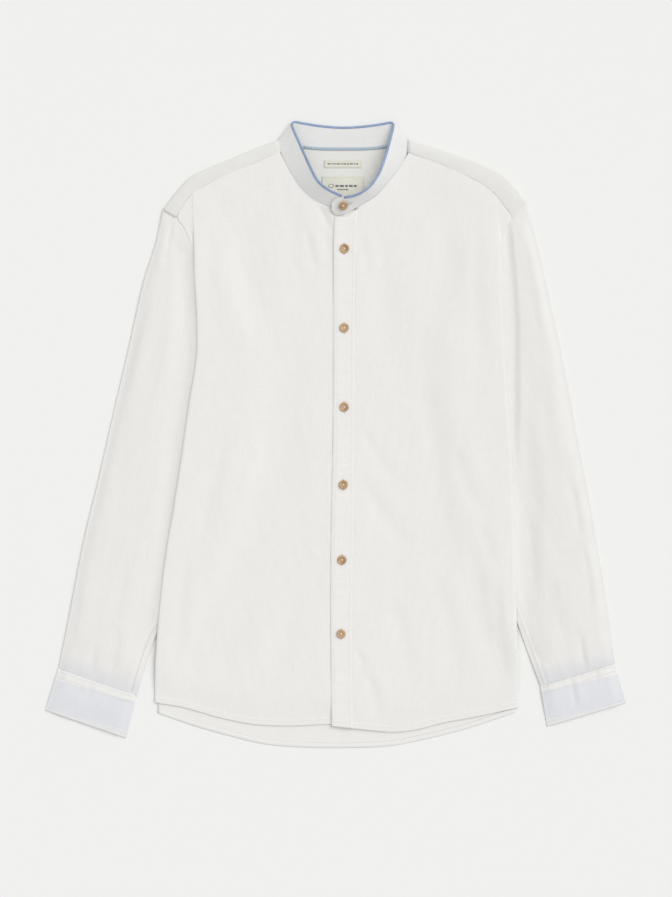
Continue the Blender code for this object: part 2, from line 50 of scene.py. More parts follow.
CLOTH = 1                   # wall that the model's layers are stacked with
SEAM = 0.3
PLACKET_WALL = 1.2
COLLAR_WALL = 1.6
TUCKED_SLEEVE = 3
OPEN_SLEEVE = 6.4
CUFF_HEIGHT = 5.4
SEAM_LEVEL = 5
ARMHOLE_LEVEL = 4.6
LOFT = 2
FOLD = 3
SIDE_TUCK = 16
YOKE_BACK_SEAM = 265
BACK_CLEAR = 2.6
RAMP = 42
RAMP_END = 12
BUTTON_RADIUS = 5.8
BUTTON_HEIGHT = 2.6
BUTTON_HOLE = 0.62            # radius of each of the four holes
HOLE_OFFSET = 1.15            # their distance from the button's middle, along each axis
TAPE_WIDTH = 3.4

SHELL = 0.7                   # the shown cloth is thinner than the wall that the layers are stacked with
FLUSH = {-1: 34, 1: 6}     # how far out a sleeve stays level with the armhole seam, at the top
BESIDE_FOLD = 6             # height of a sleeve right beside the body's side fold, and where it has sunk
BESIDE_FOOT = 2.4
CREASE_SOFTNESS = 1.3         # widens every crease of the tables
FOLD_ROUND = 16             # a sleeve thins towards its side folds over this width
BESIDE_RAMP = 16            # width over which it sinks
STRIP_TOP = 5.6               # height of the wearer's left sleeve beside the fold, and down in its valley
STRIP_FOOT = 3
STRIP_WALL = 8              # width over which it rises again
HEM_WIDTH = 7
HEM_STITCH = HEM_WIDTH - 0.8   # the stitches stand this far above the hem's fold
FELL_WIDTH = 8              # the flat-felled seam along the underarm of each sleeve
CUFF_BAND = 0.20              # the white part of each cuff, as a share of its length

# The side folds of the body: y, x on the right, x on the left.
SIDE_FOLDS = [
    (310, -191, 188.5), (248, -188, 197.5), (200, -187, 198), (145, -184, 201), (100, -184.5, 203.5),
    (38, -194, 207), (-33, -204, 212), (-90, -213, 214), (-155, -223.5, 216), (-240, -233, 218.5),
    (-300, -237, 220.6), (-355, -238, 221)]

# The two long edges of the placket: y, x of the right one, x of the left one.
PLACKET = [
    (290, -9.5, 19.2), (260, -11.5, 17.6), (208, -11.9, 16.6), (-8, -12.8, 14.6), (-150, -15.5, 13.9),
    (-250, -15.6, 11.6), (-372, -14.4, 12.6)]

# Hems: x, y.
HEM_RIGHT = [
    (-240, -340.5), (-202, -347.3), (-159, -359.4), (-115, -368.3), (-70, -370.5), (-15, -368.4),
    (16, -368.6)]
HEM_LEFT = [
    (-16, -370.8), (34, -375.9), (64, -378.3), (92, -375.5), (122, -367.7), (166, -359.4), (224, -346.8)]
HEM_BACK = [
    (-240, -353), (-188, -370.8), (-143, -383.6), (-100, -393.6), (-50, -397.8), (0, -398.4), (60, -396),
    (108, -386.7), (151, -376), (222, -352.6)]

# The neck seam of each front and of the back: x, y.
NECK_RIGHT = [
    (-80.6, 357.6), (-69.8, 336.6), (-57.1, 316.2), (-43.2, 301.6), (-27.9, 292.1), (-13, 286), (0, 283.5),
    (20, 283)]
NECK_LEFT = [
    (17, 286.5), (26.7, 292.1), (43.2, 303), (57.1, 318.1), (69.8, 334.6), (83.6, 356.6)]
NECK_BACK = [
    (-84, 373), (-56, 364.8), (0, 361.2), (56, 364.8), (84, 373)]

# The yoke, a row for each place from neck to armhole: shoulder_x, shoulder_y, front_x, front_y, back_x.
YOKE_RIGHT = [
    (-83.6, 372.9, -80.6, 357.6, -80), (-111.8, 362, -106.5, 346.6, -108),
    (-143.5, 348.6, -137, 333.6, -138), (-176.5, 335.3, -168, 319, -166),
    (-195.6, 324, -189.5, 306.8, -182), (-212, 306, -202.5, 291.5, -194),
    (-227.5, 285.6, -212, 276.4, -199)]
YOKE_LEFT = [
    (83.2, 372.9, 83.8, 357, 80), (120.7, 362.2, 118, 345.2, 112), (153.7, 350.6, 148.5, 331.4, 142),
    (179.1, 340.4, 172, 319.6, 168), (201.9, 328.9, 189.5, 308, 184), (217.9, 312.4, 203.5, 291.5, 196),
    (232, 294, 215.6, 274.6, 206)]

# How far a front goes on beyond its side fold, outwards (+) or turned under (-): y, right, left.
FRONT_TAILS = [(306, 0, 0), (291, 10.6, 11.6), (275.5, 19.6, 19), (262, 11.5, 9), (248, 5, 3),
               (236, 0.6, 0.6), (215, -8, -8), (190, -SIDE_TUCK, -SIDE_TUCK),
               (-400, -SIDE_TUCK, -SIDE_TUCK)]

# The sleeves, a row for each section from armhole to cuff seam: outer_x, outer_y, inner_x, inner_y, bow.
SLEEVE_RIGHT = [
    (-228.9, 284.2, -180, 218, 7.4), (-238.5, 240, -158, 170, 5), (-254, 190, -141, 128, 1.5),
    (-273.6, 103, -136, 75, 0), (-293.4, 18, -148, -5, 0), (-311, -60, -165, -85, 0),
    (-327, -125, -187, -150, 0), (-341, -195, -217, -222, 0), (-350.5, -245, -240.6, -264, 0),
    (-361.4, -297.2, -261.5, -331.2, 0)]
SLEEVE_LEFT = [
    (233.4, 292.6, 182, 218, 3.8), (244, 252, 160, 170, 2.5), (256.5, 199, 148, 130, 0.5),
    (277.5, 104, 150, 80, 0), (293.5, 20, 158, 0, 0), (308.5, -60, 170, -80, 0),
    (320.2, -124, 190, -145, 0), (332, -195, 211, -213, 0), (339.6, -245, 226.8, -256, 0),
    (345.2, -290.4, 250.2, -319.8, 0)]
CUFF_RIGHT = [
    (-361.6, -297.8, -262, -331.8, 0), (-378.2, -350.5, -275.4, -386.1, 0)]
CUFF_LEFT = [
    (345.4, -291, 250, -320.4, 0), (359, -341.6, 259, -371.5, 0)]

# The collar band, from its under end, round the back of the neck, to its buttoned end:
# base_x, base_y, base_z, top_x, top_y, top_z.
COLLAR = [
    (-2.5, 284.6, 5, -1.2, 302, 14.6), (-15, 287, 5, -8.6, 304.6, 17.2), (-28.2, 292.4, 5, -18, 309, 19.6),
    (-43.2, 301.6, 5, -28.8, 317, 20.6), (-57.1, 316.2, 5, -36.8, 329.5, 19.6),
    (-69.8, 336.6, 5, -47.2, 352.5, 15.6), (-77.5, 353, 4.8, -55.8, 372, 13.4),
    (-81.6, 365.6, 4.6, -61.8, 385.6, 11.2), (-82.2, 373.2, 2.8, -64.2, 394.6, 7),
    (-75, 371, 0.7, -60.4, 397.2, 2.2), (-55, 366.2, 0.5, -50, 395.4, 1.4),
    (-28, 363.6, 0.3, -26, 391.8, 1), (0, 362.6, 0.3, 0, 390, 0.9), (28, 363.6, 0.3, 26, 391.4, 1),
    (55, 366.2, 0.5, 49.5, 394.6, 1.4), (74, 371, 0.7, 59.6, 396.4, 2.2),
    (81.8, 373.2, 2.8, 63.4, 393.8, 7), (82.6, 365.6, 4.6, 61.4, 383, 11.8),
    (79.5, 351.5, 4.8, 57.4, 367.5, 15.4), (70.4, 335.4, 5, 52.4, 349, 20.4),
    (57.4, 318.6, 5, 45.6, 330, 24.4), (43.4, 303.4, 5, 35.4, 313.8, 26.2),
    (27, 292.4, 5.2, 23.4, 304.4, 25.8), (13.5, 284.4, 6.2, 12.2, 300.6, 23),
    (2, 278.4, 6.8, 2, 299.6, 19.2), (-9.2, 277.4, 7, -9.4, 296.4, 16.8),
    (-14.2, 282.6, 10, -14.4, 291.6, 14.6)]
BINDING_END = 24.09           # the bound part of the upper edge ends here, in rows of the table above

# Labels on the inside of the yoke: centre_y, width, height.
LABELS = {"label_small": (342.9, 48, 10.2), "label_large": (310.5, 54, 33)}
LABEL_LEVEL = 1.5
# Rows of dashes in place of wording: label, first x, low and high edge from its middle, gap, height, lengths.
LABEL_DASHES = [("label_small", -19.5, -0.75, 0.75, 1.25, 0.18,
                 (3.4, 1.6, 2.6, 4.2, 1.8, 3.6, 2.2, 3.8, 1.6, 2.8)),
                ("label_large", -9.5, 3.2, 5.6, 1.5, 0.2, (4, 5.2, 3.4, 4.6, 3.6)),
                ("label_large", -7, -1, 0.6, 1, 0.18, (2.4, 3, 2, 3.2))]

COLLAR_BUTTON = (0.4, 288.6)
FRONT_BUTTONS = [
    (1.7, 235), (1.5, 134.6), (1.5, 34.3), (0.4, -64.4), (-1.3, -159.6), (-2.4, -253.4)]

# Creases: x and y of one end and of the other, how far the middle bows to the left of that line, the half
# width, and the depth. A negative depth is a ridge. -1 is the right side, 1 the left.
FRONT_CREASES = {
    -1: [
        (-33.5, 293, -15, 253, 2, 3, 1.7), (-47, 266, -29, 195, -3, 5, 1),
        (-29, 282, -14, 150, 3, 6.5, 1.2), (-58, 300, -62, 190, -5, 9, 0.7),
        (-14, 50, -38, 26, 1, 3.2, 0.6), (-15, -18, -40, -50, 2, 3.8, 0.7),
        (-16, -135, -36, -152, 1.5, 3, 0.6), (-17, -160, -44, -190, 2.5, 4, 0.7),
        (-99, 18, -182, -211, 7, 11, -1.5), (-182, -211, -222, -330, 2, 9, -1.2),
        (-118, 300, -142, 80, 6, 15, 1), (-168, 285, -158, 90, -5, 10, 1.1),
        (-66, 130, -92, -130, 8, 14, 0.8), (-148, 20, -196, -160, 5, 8, 1),
        (-196, -140, -212, -320, -3, 7, 0.9), (-60, -170, -96, -345, 6, 11, 0.9),
        (-120, -180, -165, -340, 4, 12, 0.8)],
    1: [
        (18, -46, 98, -160, -6, 8, 0.9), (20, 20, 74, -70, -5, 6, 0.7), (142, -8, 174, -109, -4, 7, 1.2),
        (174, -109, 193, -180, 0, 6.5, 0.9), (14, -272, 27, -300, 1.5, 3.4, 0.7),
        (27, -298, 42, -366, 5, 6, 1.1), (18, -283, 34, -281, -3, 2, 0.6),
        (188, -170, 205, -330, 3, 6.5, 1.3), (158, -120, 184, -300, 5, 9, 1),
        (112, -165, 148, -345, 6, 10, 0.9), (62, -200, 84, -350, 5, 9, 0.8), (48, 285, 66, 60, -7, 13, 0.8),
        (118, 318, 140, 110, 6, 14, 1), (170, 270, 176, 60, -5, 9, 1.1), (92, 80, 128, -90, 8, 12, 0.8),
        (22, 262, 30, 190, 2, 5, 0.6)]}
# The valley in the wearer's left sleeve beside the body: y, x.
SLEEVE_VALLEY = [
    (-110, 224), (-20, 224), (90, 224.5), (172, 222.5), (220, 218.5), (272, 213.5), (300, 211)]
SLEEVE_CREASES = {
    -1: [
        (-214, 276, -226, 206, -2, 2.6, 1), (-227, 282, -248, 205, -2, 2.8, 0.9),
        (-234, 212, -334, -180, -9, 6.5, 1.6), (-214, 250, -229, 10, 3, 6, -1.2),
        (-228, 30, -252, -230, 3, 7, -1.1), (-262, 120, -290, -120, -4, 8, 1),
        (-252, -60, -300, -250, 5, 7, 1), (-336, -190, -346, -285, 2, 5, 0.8),
        (-285, -240, -300, -312, 3, 5, 0.9), (-312, -262, -322, -306, 0, 3.2, 1)],
    1: [
        (234, 262, 258, 100, 4, 5.5, -1.3), (256, 112, 278, -64, 3, 6.5, -1.2),
        (286, -50, 302, -140, 2, 4, 1.3), (302, -135, 316, -226, 2, 4.5, 1.1),
        (232, 60, 252, -150, -4, 7, 1), (256, -140, 286, -290, -5, 8, 1),
        (234, -90, 240, -214, 3, 5.5, 1.1), (300, -250, 305, -303, 1, 3.4, 1.2)]}
# Each sleeve's painted shade darkens its cloth towards the cuff seam given here.
# The middle of each sleeve's cuff seam, and the direction towards the cuff: x, y, direction x, direction y.
SLEEVE_ENDS = {-1: (-311.8, -314.8, -0.27, -0.963), 1: (297.6, -305.7, 0.219, -0.976)}
CUFF_CREASES = {
    -1: [
        (-318, -306, -324, -340, 0, 2.4, 0.7)],
    1: [
        (286, -300, 296, -352, 1, 2.6, 1.1), (320, -294, 323, -318, 0, 1.8, 0.5)]}
# Dents in the outer side of the back panel, which lies on the table.
BACK_CREASES = [
    (-60, 240, -84, 20, 6, 11, -0.9), (52, 250, 66, 60, -5, 10, -0.8), (118, 20, 160, -240, 8, 13, -0.9),
    (-112, -20, -166, -290, -7, 12, -0.8), (6, -60, 24, -330, 6, 9, -0.7)]

SIDE_NAME = {-1: "right", 1: "left"}

# Linear base colours.
BODY_WHITE = (0.838, 0.828, 0.803)
PLACKET_WHITE = (0.852, 0.842, 0.818)
SLEEVE_WHITE = (0.822, 0.812, 0.788)
# The collar band's white is darker than the body's: painted shade for the shade on the standing band.
COLLAR_SHADED_WHITE = (0.792, 0.790, 0.776)
# The yoke's white is darker and warmer than the body's: painted shade for its shaded shoulders and its inside
# behind the collar.
YOKE_SHADED_WHITE = (0.794, 0.786, 0.752)
CUFF_BLUE = (0.756, 0.764, 0.790)
CUFF_EDGE = (0.790, 0.787, 0.784)
# Painted shade on each sleeve's last 26 mm above its cuff seam: darker, with a bluish tint for the blue cuff
# cloth showing through.
CUFF_SEAM_PAINTED_SHADE = (0.705, 0.712, 0.738)
BINDING_BLUE = (0.280, 0.368, 0.560)
TAPE_BLUE = (0.310, 0.440, 0.590)
TAPE_WHITE = (0.72, 0.78, 0.81)
LABEL_CREAM = (0.760, 0.755, 0.655)
THREAD_WHITE = (0.840, 0.835, 0.815)
MARK_GREY = (0.185, 0.190, 0.195)
HORN_DARK = (0.245, 0.105, 0.040)
HORN_TAN = (0.560, 0.330, 0.150)
HORN_PALE = (0.640, 0.440, 0.245)
FLOOR_PALE = (0.880, 0.880, 0.862)


# ---- shapes by number ----

def smoothstep(low, high, value):
    """0 at low, 1 at high, eased at both ends. low may be the larger."""
    t = np.clip((np.asarray(value, float) - low) / (high - low), 0, 1)
    return t * t * (3 - 2 * t)


def eased(ends, slopes, t, span=1):
    """The cubic from one value to the next, with the slopes given at both."""
    rise = (ends[1] - ends[0]) * t * t * (3 - 2 * t)
    return ends[0] + rise + span * (slopes[0] * t * (1 - t) ** 2 - slopes[1] * t * t * (1 - t))


def spline(pairs):
    """A smooth function through (position, value) pairs, held level beyond its ends."""
    at, value = np.array(sorted(pairs), float).T
    slope = np.gradient(value, at)

    def evaluate(position):
        p = np.clip(np.asarray(position, float), at[0], at[-1])
        i = np.clip(np.searchsorted(at, p, side="right") - 1, 0, len(at) - 2)
        span = at[i + 1] - at[i]
        return eased((value[i], value[i + 1]), (slope[i], slope[i + 1]), (p - at[i]) / span, span)

    return evaluate


def rows_at(table, positions):
    """Rows of a table read at fractional row numbers, smoothly between its own rows."""
    columns = [spline(list(enumerate(column))) for column in zip(*table)]
    return np.stack([column(positions) for column in columns], axis=-1)


def resample(control, count):
    """count points along a smooth line through control points, on the first axis of an array."""
    t = np.linspace(0, len(control) - 1, count)
    i = np.minimum(t.astype(int), len(control) - 2)
    f = (t - i).reshape((-1,) + (1,) * (control.ndim - 1))
    slope = np.gradient(control, axis=0)
    return eased((control[i], control[i + 1]), (slope[i], slope[i + 1]), f)


def unit(vectors):
    return vectors / np.linalg.norm(vectors, axis=-1, keepdims=True)


def column_of(table, index):
    return spline([(row[0], row[index]) for row in table])


fold_x = {-1: column_of(SIDE_FOLDS, 1), 1: column_of(SIDE_FOLDS, 2)}
tail_at = {-1: column_of(FRONT_TAILS, 1), 1: column_of(FRONT_TAILS, 2)}
placket_x = {-1: column_of(PLACKET, 1), 1: column_of(PLACKET, 2)}
hem_y = {-1: spline(HEM_RIGHT), 1: spline(HEM_LEFT)}
hem_back_y = spline(HEM_BACK)
neck_y = {-1: spline(NECK_RIGHT), 1: spline(NECK_LEFT)}
neck_back_y = spline(NECK_BACK)
yoke_rows = {-1: YOKE_RIGHT, 1: YOKE_LEFT}
sleeve_rows = {-1: SLEEVE_RIGHT, 1: SLEEVE_LEFT}
yoke_seam_y = {side: spline([(row[2], row[3]) for row in rows]) for side, rows in yoke_rows.items()}
underarm_x = {side: spline([(row[3], row[2]) for row in rows]) for side, rows in sleeve_rows.items()}


def by_side(x, functions, y):
    return np.where(x > 0, functions[1](y), functions[-1](y))


def back_under(x, y, ramp=(268, 247)):
    """Height of the back panel's underside: on the table, or over a tucked sleeve below the yoke's ramp."""
    inside = np.abs(by_side(x, underarm_x, y)) - np.abs(x)
    onto_sleeve = smoothstep(RAMP + RAMP_END, RAMP_END, inside)
    return (TUCKED_SLEEVE + SEAM) * onto_sleeve * smoothstep(*ramp, y) * smoothstep(-335, -262, y)


def front_seam_y(x, side):
    """Where the neck or yoke seam of a front lies at x."""
    corner = abs(yoke_rows[side][0][2])
    return np.where(np.abs(x) < corner, neck_y[side](x), yoke_seam_y[side](x))


def front_over(x, y, side):
    """Height of a front's upper face between the placket and the side fold."""
    inset = np.abs(fold_x[side](y)) - np.abs(x)
    near_fold = smoothstep(40, 4, inset)
    loft = LOFT + (FOLD - CLOTH + SEAM - LOFT) * near_fold
    loft = loft + smoothstep(70, 5, np.abs(x)) * (side > 0)
    height = back_under(x, y, (278, 214)) + CLOTH + loft + CLOTH
    height = height + 1.6 * near_fold * smoothstep(200, 262, y)
    return height + (SEAM_LEVEL - height) * smoothstep(60, 0, front_seam_y(x, side) - y)


def ripple(x, y, across, along, angle=0, seed=0):
    """Smooth uneven noise of about -1 to 1, stretched along a direction given from +Y."""
    c, s = math.cos(angle), math.sin(angle)
    u = ((x * c + y * s) / across).ravel()
    v = ((y * c - x * s) / along).ravel()
    values = [noise.noise((a, b, seed)) for a, b in zip(u, v)]
    return np.array(values).reshape(x.shape)


def creases(table, x, y):
    """Height of all the creases of a table: soft troughs, each with a low ridge beside it."""
    total = np.zeros_like(x)
    for x0, y0, x1, y1, bow, width, depth in table:
        length = math.hypot(x1 - x0, y1 - y0)
        along_x, along_y = (x1 - x0) / length, (y1 - y0) / length
        t = ((x - x0) * along_x + (y - y0) * along_y) / length
        offset = (x - x0) * -along_y + (y - y0) * along_x - 4 * bow * t * (1 - t)
        ends = smoothstep(0, 0.3, t) * smoothstep(1, 0.65, t)
        spread = CREASE_SOFTNESS * width * (0.75 + 0.5 * np.clip(t, 0, 1))
        trough = np.exp(-(offset / spread) ** 2)
        shoulder = np.exp(-((offset - 1.9 * spread) / (1.5 * spread)) ** 2)
        total += depth * ends * (0.45 * shoulder - trough)
    return total


# ---- meshes ----

def grid_faces(rows, columns, closed):
    r, c = np.meshgrid(np.arange(rows - 1), np.arange(columns if closed else columns - 1), indexing="ij")
    d = (c + 1) % columns
    here, beyond = r * columns, (r + 1) * columns
    return np.stack([here + c, here + d, beyond + d, beyond + c], -1).reshape(-1, 4)


def linked(name, data):
    piece = bpy.data.objects.new(name, data)
    bpy.context.scene.collection.objects.link(piece)
    return piece


def mesh_object(name, points, faces, finish):
    mesh = bpy.data.meshes.new(name)
    faces = faces.tolist() if isinstance(faces, np.ndarray) else faces
    mesh.from_pydata((np.asarray(points).reshape(-1, 3) * MM).tolist(), [], faces)
    mesh.shade_smooth()
    for material in finish if isinstance(finish, list) else [finish]:
        mesh.materials.append(material)
    return linked(name, mesh)


def shell(piece, wall, even=False):
    """Thickens an open surface away from its outer face."""
    thick = piece.modifiers.new("wall", "SOLIDIFY")
    thick.thickness = wall * MM
    thick.offset = -1
    thick.use_even_offset = even
    thick.use_rim = True


def welded(piece):
    work = bmesh.new()
    work.from_mesh(piece.data)
    bmesh.ops.remove_doubles(work, verts=work.verts, dist=0.01 * MM)
    work.to_mesh(piece.data)
    work.free()


def settle(piece, nodes):
    """Puts a piece on its body and hides the CAD parts that it stands for."""
    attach(piece, BODY)
    if nodes:
        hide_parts(*nodes)
    return piece


def cloth(name, grid, wall, finish, nodes, closed=False):
    """A cloth piece from one grid of points on its outer face."""
    points = np.asarray(grid)
    piece = mesh_object(name, points, grid_faces(points.shape[0], points.shape[1], closed), finish)
    shell(piece, wall)
    return settle(piece, nodes)


stitch_rows = {"stitches_body": [], "stitches_sleeves": [], "stitches_collar": []}
STITCH_TEMPLATE = np.array([(t, s * w, n * w) for t, w in ((-0.5, 0.3), (-0.25, 1), (0.25, 1), (0.5, 0.3))
                            for s, n in ((1, 0), (0, 1), (-1, 0), (0, -1))])
STITCH_FACES = np.array([(4 * r + c, 4 * r + (c + 1) % 4, 4 * r + 4 + (c + 1) % 4, 4 * r + 4 + c)
                         for r in range(3) for c in range(4)] + [(3, 2, 1, 0), (12, 13, 14, 15)])


def stitch(group, line, up=(0, 0, 1), pitch=2.6, share=0.68, width=0.26, height=0.2):
    """Adds a row of stitches along a line of points. up is one vector, or one for each point."""
    line = np.asarray(line, float)
    ups = np.broadcast_to(np.asarray(up, float), line.shape)
    run = np.concatenate([[0], np.cumsum(np.linalg.norm(np.diff(line, axis=0), axis=1))])
    count = int(run[-1] / pitch)
    middle = (np.arange(count) + 0.5) * run[-1] / count

    def at(values, distance):
        return np.stack([np.interp(distance, run, values[:, k]) for k in range(3)], axis=-1)

    ahead = unit(at(line, middle + 0.4 * pitch) - at(line, middle - 0.4 * pitch))
    sideways = unit(np.cross(at(ups, middle), ahead))
    normal = np.cross(ahead, sideways)
    t, s, n = (STITCH_TEMPLATE[:, k].reshape(1, -1, 1) for k in range(3))
    points = (at(line, middle)[:, None] + t * ahead[:, None] * pitch * share + s * sideways[:, None] * width
              + (n * height + 0.08) * normal[:, None])
    stitch_rows[group].append(points.reshape(-1, 3))


def make_stitches(finish):
    for name, rows in stitch_rows.items():
        points = np.concatenate(rows)
        starts = np.arange(len(points) // 16) * 16
        faces = (starts[:, None, None] + STITCH_FACES[None]).reshape(-1, 4)
        settle(mesh_object(name, points, faces, finish), [])


# ---- finishes ----

class Nodes:
    """A material's node tree, with short calls for the nodes that these finishes use."""

    def __init__(self, name, shader):
        self.material = bpy.data.materials.new(name)
        self.material.use_nodes = True
        self.tree = self.material.node_tree
        self.shader = self.tree.nodes["Principled BSDF"]
        self.fill(self.shader, shader)
        self.place = self.add("ShaderNodeTexCoord", {}).outputs["Object"]

    def fill(self, node, inputs):
        """Sets a node's inputs, by name or number, to values or to links."""
        for key, value in inputs.items():
            if isinstance(value, bpy.types.NodeSocket):
                self.tree.links.new(value, node.inputs[key])
            else:
                node.inputs[key].default_value = value

    def add(self, kind, inputs, **settings):
        node = self.tree.nodes.new(kind)
        for key, value in settings.items():
            setattr(node, key, value)
        self.fill(node, inputs)
        return node

    def turned(self, angle):
        return self.add("ShaderNodeVectorRotate", {"Vector": self.place, "Angle": angle}).outputs[0]

    def noise(self, angle, scale, detail=2):
        place = self.add("ShaderNodeMapping", {"Vector": self.turned(angle), "Scale": scale}).outputs[0]
        return self.add("ShaderNodeTexNoise", {"Vector": place, "Scale": 1, "Detail": detail}).outputs["Fac"]

    def ridges(self, angle, scale, distortion=0.6):
        """Fine parallel ridges, scale of them to a metre, across the turned X direction."""
        inputs = {"Vector": self.turned(angle), "Scale": scale / 3.2, "Distortion": distortion}
        return self.add("ShaderNodeTexWave", inputs).outputs["Fac"]

    def math(self, operation, a, b):
        return self.add("ShaderNodeMath", {0: a, 1: b}, operation=operation).outputs[0]

    def spread(self, value, low=0, high=1):
        """A value from 0.3 to 0.7 brought to low to high."""
        inputs = {"Value": value, "From Min": 0.3, "From Max": 0.7, "To Min": low, "To Max": high}
        return self.add("ShaderNodeMapRange", inputs).outputs[0]

    def mix(self, factor, *colours):
        a, b = (c if isinstance(c, bpy.types.NodeSocket) else (*c, 1) for c in colours)
        return self.add("ShaderNodeMix", {0: factor, 6: a, 7: b}, data_type="RGBA").outputs[2]

    def tones(self, factor, colour, low, high):
        """A colour from low to high times its strength."""
        return self.mix(factor, scaled(colour, low), scaled(colour, high))

    def colour(self, socket):
        self.fill(self.shader, {"Base Color": socket})

    def bump(self, height, distance, strength):
        inputs = {"Height": height, "Strength": strength, "Distance": distance}
        self.fill(self.shader, {"Normal": self.add("ShaderNodeBump", inputs).outputs[0]})


def scaled(colour, *factors):
    """A colour times one factor, or times one for each channel."""
    return tuple(min(1, c * factor) for c, factor in zip(colour, factors * 3))


def woven(name, colour, angle=0, slub=1, threads=1700, shade=None):
    """Plain-weave cloth: warp and weft threads, and thicker slubs that run mostly along the warp.

    shade, if given, paints shade towards a line and how far it reaches: x, y, direction x, direction y,
    width, colour.
    """
    n = Nodes(name, {"Roughness": 0.88, "Sheen Weight": 0.12, "Sheen Roughness": 0.5,
                     "Specular IOR Level": 0.25})
    warp_slub = n.noise(angle, (640, 62, 300))
    weft_slub = n.noise(angle, (70, 660, 300))
    cloud = n.noise(angle, (34, 21, 21), detail=3)
    slubs = n.math("ADD", n.spread(warp_slub, 0, 0.6 * slub), n.spread(weft_slub, 0, 0.4 * slub))
    warm = n.mix(n.spread(cloud), scaled(colour, 0.985), scaled(colour, 1.008, 1.012, 1.022))
    cloth_colour = n.mix(0.5, n.tones(slubs, colour, 0.955, 1.045), warm)
    # Painted shade: the colour goes over to the shade colour towards the line, with a cloudy edge.
    if shade:
        x, y, towards_x, towards_y, width, painted_shade_colour = shade
        along = n.add("ShaderNodeVectorMath", {0: n.place, 1: (towards_x, towards_y, 0)},
                      operation="DOT_PRODUCT")
        line = (x * towards_x + y * towards_y) * MM
        reach = n.add("ShaderNodeMapRange", {"Value": along.outputs["Value"], "From Min": line - width * MM,
                                             "From Max": line}, interpolation_type="SMOOTHSTEP")
        cloud_edge = n.math("MULTIPLY", reach.outputs[0], n.spread(cloud, 0.6, 1))
        cloth_colour = n.mix(cloud_edge, cloth_colour, painted_shade_colour)
    n.colour(cloth_colour)
    warp = n.ridges(angle, threads)
    weft = n.ridges(angle + math.pi / 2, threads * 0.9)
    weave = n.math("MAXIMUM", warp, n.math("MULTIPLY", weft, 0.92))
    n.bump(n.math("ADD", n.math("MULTIPLY", weave, 0.45), n.math("MULTIPLY", slubs, 0.8)), 0.00011, 0.55)
    return n.material


def binding_finish():
    """Bias-cut binding, with its threads running aslant."""
    n = Nodes("binding_finish", {"Roughness": 0.8, "Sheen Weight": 0.2})
    threads = n.ridges(math.radians(45), 1500)
    patch = n.noise(0, (160, 160, 160))
    shade = n.math("ADD", n.math("MULTIPLY", threads, 0.35), n.spread(patch, 0, 0.65))
    n.colour(n.tones(shade, BINDING_BLUE, 0.86, 1.16))
    n.bump(threads, 0.00012, 0.6)
    return n.material


def tape_finish():
    """Twill tape: slanting bands of blue and white."""
    n = Nodes("tape_finish", {"Roughness": 0.78})
    bands = n.ridges(math.radians(-38), 330, 0.3)
    grain = n.ridges(math.radians(52), 1700)
    tone = n.mix(n.spread(bands), TAPE_BLUE, TAPE_WHITE)
    n.colour(n.mix(n.math("MULTIPLY", grain, 0.25), tone, scaled(TAPE_BLUE, 0.8)))
    n.bump(n.math("ADD", n.math("MULTIPLY", bands, 0.8), n.math("MULTIPLY", grain, 0.3)), 0.0002, 0.8)
    return n.material


def label_finish():
    """Satin-woven label with fine crosswise ribs."""
    n = Nodes("label_finish", {"Roughness": 0.55, "Sheen Weight": 0.25})
    patch = n.noise(0, (90, 300, 90))
    n.colour(n.tones(n.spread(patch), LABEL_CREAM, 0.97, 1.03))
    n.bump(n.ridges(math.pi / 2, 2600, 0.2), 0.00006, 0.5)
    return n.material


def thread_finish(name, colour):
    """Spun sewing thread with its twist."""
    n = Nodes(name, {"Roughness": 0.7})
    twist = n.ridges(math.radians(35), 2400, 0.4)
    n.colour(n.tones(twist, colour, 0.93, 1.03))
    n.bump(twist, 0.00008, 0.6)
    return n.material


def button_finish():
    """Polished horn-like resin: brown and tan streaks, with paler patches."""
    n = Nodes("button_finish", {"Roughness": 0.28, "Coat Weight": 0.35, "Coat Roughness": 0.12})
    streak = n.noise(0.6, (190, 420, 190), detail=5)
    patch = n.noise(-0.4, (110, 90, 90))
    brown = n.mix(n.spread(streak), HORN_DARK, HORN_TAN)
    n.colour(n.mix(n.spread(patch, 0, 0.75), brown, HORN_PALE))
    n.bump(n.noise(0.9, (2400, 260, 900)), 0.00002, 0.3)
    return n.material


def floor_finish():
    n = Nodes("floor_finish", {"Roughness": 0.9, "Specular IOR Level": 0})
    n.colour(n.tones(n.noise(0, (3, 3, 3)), FLOOR_PALE, 0.998, 1.002))
    return n.material


body_finish = woven("body_finish", BODY_WHITE)
placket_finish = woven("placket_finish", PLACKET_WHITE)
# The yoke's darker white is painted shade.
yoke_finish = woven("yoke_finish", YOKE_SHADED_WHITE, angle=math.pi / 2)
# Each sleeve's finish carries painted shade towards its cuff seam.
sleeve_finish = {side: woven("sleeve_finish_" + SIDE_NAME[side], SLEEVE_WHITE, angle=side * math.radians(13),
                             shade=(*SLEEVE_ENDS[side], 26, CUFF_SEAM_PAINTED_SHADE))
                 for side in (-1, 1)}
cuff_finish = {side: woven("cuff_finish_" + SIDE_NAME[side], CUFF_BLUE, angle=side * math.radians(18),
                           slub=1.3)
               for side in (-1, 1)}
cuff_band_finish = woven("cuff_band_finish", scaled(SLEEVE_WHITE, 1.02), slub=1.2)
cuff_edge_finish = woven("cuff_edge_finish", CUFF_EDGE, slub=1.3)
# The collar's darker white is painted shade.
collar_finish = woven("collar_finish", COLLAR_SHADED_WHITE, angle=math.pi / 2, slub=1.2)
thread_white = thread_finish("thread_white", THREAD_WHITE)


# ---- the panels ----

